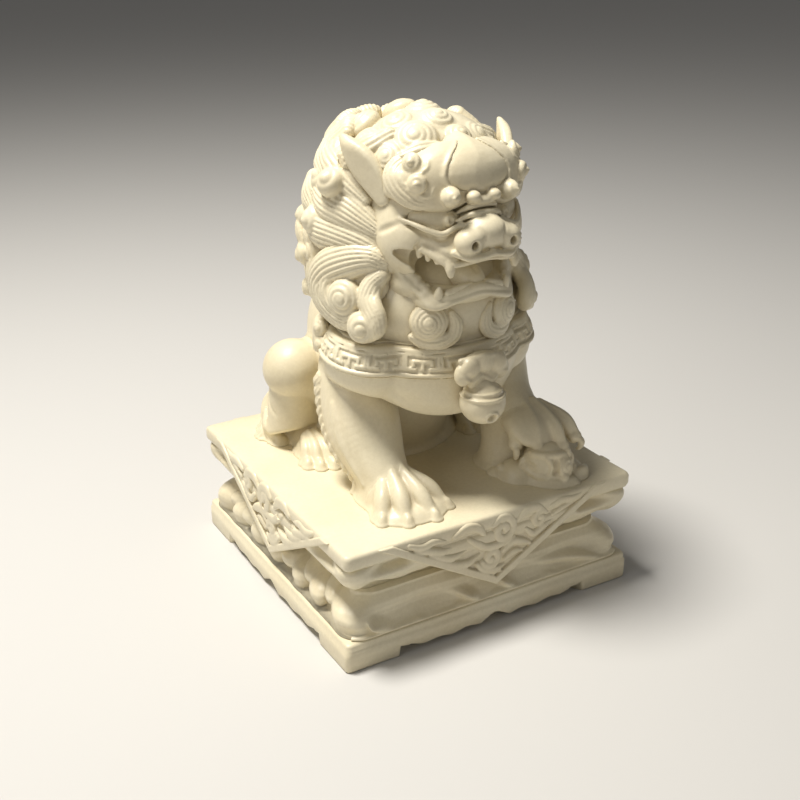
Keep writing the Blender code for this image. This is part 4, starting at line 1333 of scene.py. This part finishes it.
def ivory(name, tone):
    """Warm ivory stone: clouded colour, painted shade darkening its creases and hollows, a satin worn skin
    and fine grain.
    """
    material = bpy.data.materials.new(name + "_ivory")
    material.use_nodes = True
    nodes, links = material.node_tree.nodes, material.node_tree.links
    shader = nodes["Principled BSDF"]
    place = nodes.new("ShaderNodeTexCoord")

    def noise(size, detail, rough=0.5):
        node = nodes.new("ShaderNodeTexNoise")
        node.inputs["Scale"].default_value = size
        node.inputs["Detail"].default_value = detail
        node.inputs["Roughness"].default_value = rough
        links.new(place.outputs["Object"], node.inputs["Vector"])
        return node.outputs["Fac"]

    def ramp(source, stops):
        node = nodes.new("ShaderNodeValToRGB")
        for stop, (spot, colour) in zip(node.color_ramp.elements, stops):
            stop.position = spot
            stop.color = colour
        for spot, colour in stops[2:]:
            node.color_ramp.elements.new(spot).color = colour
        links.new(source, node.inputs["Fac"])
        return node.outputs["Color"]

    def mixed(kind, factor, a, b):
        node = nodes.new("ShaderNodeMix")
        node.data_type = "RGBA"
        node.blend_type = kind
        if isinstance(factor, float):
            node.inputs["Factor"].default_value = factor
        else:
            links.new(factor, node.inputs["Factor"])
        links.new(a, node.inputs["A"])
        links.new(b, node.inputs["B"])
        return node.outputs["Result"]

    def bump(source, strength, distance):
        node = nodes.new("ShaderNodeBump")
        node.inputs["Strength"].default_value = strength
        node.inputs["Distance"].default_value = distance
        links.new(source, node.inputs["Height"])
        return node

    def shade(colour, level=1.0):
        return (colour[0] * level, colour[1] * level, colour[2] * level, 1)

    # cream and bone are the stone's own colours; umber is the colour of the painted shade
    cream, bone, painted_shade_umber = (0.82, 0.75, 0.56), (0.76, 0.67, 0.47), (0.44, 0.36, 0.23)
    cloud = ramp(noise(18, 4), [(0.3, shade(bone, tone)), (0.7, shade(cream, tone))])
    speck = ramp(noise(420, 3, 0.7), [(0.35, shade((0.90, 0.89, 0.86))), (0.62, shade((1, 1, 1)))])
    colour = mixed("MULTIPLY", 0.55, cloud, speck)
    # Painted shade: an umber tint mixed into the colour where the surface is sunk, stronger the deeper the
    # crease or hollow
    painted_shade_mask = nodes.new("ShaderNodeAttribute")
    painted_shade_mask.attribute_name = "hollow"
    depth = ramp(painted_shade_mask.outputs["Fac"], [(0.05, (0, 0, 0, 1)), (0.75, (0.5, 0.5, 0.5, 1))])
    painted_shade_colour = ramp(noise(60, 3), [(0.3, shade(painted_shade_umber, 0.9)), (0.7, shade(painted_shade_umber, 1.25))])
    colour = mixed("MIX", depth, colour, painted_shade_colour)
    links.new(colour, shader.inputs["Base Color"])
    gloss = ramp(noise(70, 5, 0.6), [(0.3, (0.30, 0.30, 0.30, 1)), (0.72, (0.46, 0.46, 0.46, 1))])
    links.new(gloss, shader.inputs["Roughness"])
    grain = bump(noise(900, 4, 0.6), 0.12, 0.0006)
    waves = bump(noise(95, 3), 0.25, 0.0012)
    links.new(grain.outputs["Normal"], waves.inputs["Normal"])
    links.new(waves.outputs["Normal"], shader.inputs["Normal"])
    shader.inputs["IOR"].default_value = 1.5
    return material


def place_piece(item, node, tone):
    """Give a shaped piece its stone and stand it for its CAD node."""
    item.data.materials.clear()
    item.data.materials.append(ivory(node, tone))
    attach(item, "root")
    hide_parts(node)


def build_all():
    meshes = join_lion(shape_lion()) + panel_meshes()
    for index, (node, vertices, quads, hollow) in enumerate(meshes):
        item = add_mesh(node + "_stone", vertices, quads, hollow)
        place_piece(item, node, 1.0 - TONE_STEP * (index % 4))
    for node, build in (("plinth", build_plinth), ("lower_tier", build_lower_tier),
                        ("upper_moulding", build_moulding), ("top_slab", build_slab)):
        place_piece(build(), node, 1.0)


# Studio

FLOOR_SIZE = 12
FLOOR_GAP = 0.0002
CAMERA_SPOT = (-340.27, -562.14, 394.21)
CAMERA_TARGET = (-9.22, -4.14, 111.06)


def build_stage():
    bpy.ops.mesh.primitive_plane_add(size=FLOOR_SIZE, location=(0, 0, -FLOOR_GAP))
    floor = bpy.context.object
    floor.name = "floor"
    material = bpy.data.materials.new("floor_paper")
    material.use_nodes = True
    shader = material.node_tree.nodes["Principled BSDF"]
    shader.inputs["Base Color"].default_value = (0.62, 0.61, 0.59, 1)
    shader.inputs["Roughness"].default_value = 0.8
    floor.data.materials.append(material)


def add_light(name, spot, target, size, power, colour):
    lamp = bpy.data.lights.new(name, "AREA")
    lamp.shape = "DISK"
    lamp.size = size
    lamp.energy = power
    lamp.color = colour
    item = bpy.data.objects.new(name, lamp)
    bpy.context.scene.collection.objects.link(item)
    item.location = spot
    item.rotation_euler = (Vector(target) - Vector(spot)).to_track_quat("-Z", "Y").to_euler()


def light_studio():
    middle = (0, 0, 0.14)
    add_light("key", (-0.42, 0.20, 1.45), middle, 0.42, 30, (1.0, 0.965, 0.90))
    add_light("side", (-1.4, -0.35, 0.75), middle, 0.8, 3.2, (1.0, 0.97, 0.92))
    add_light("fill", (0.5, -1.6, 0.8), middle, 1.2, 0.8, (0.97, 0.97, 1.0))
    world = bpy.data.worlds.new("studio")
    bpy.context.scene.world = world
    world.use_nodes = True
    world.node_tree.nodes["Background"].inputs["Color"].default_value = (1.0, 0.98, 0.95, 1)
    world.node_tree.nodes["Background"].inputs["Strength"].default_value = 0.13
    bpy.context.scene.view_settings.view_transform = "Standard"


def add_camera():
    """The photograph's view: 31 degrees to the lion's right, 24 degrees up."""
    lens = bpy.data.cameras.new("camera")
    lens.sensor_width = 36
    lens.lens = 51.1
    item = bpy.data.objects.new("camera", lens)
    bpy.context.scene.collection.objects.link(item)
    spot, target = Vector(CAMERA_SPOT) * MM, Vector(CAMERA_TARGET) * MM
    item.location = spot
    item.rotation_euler = (target - spot).to_track_quat("-Z", "Y").to_euler()
    lens.clip_start = 0.01
    lens.clip_end = 50
    bpy.context.scene.camera = item


build_all()
build_stage()
light_studio()
add_camera()
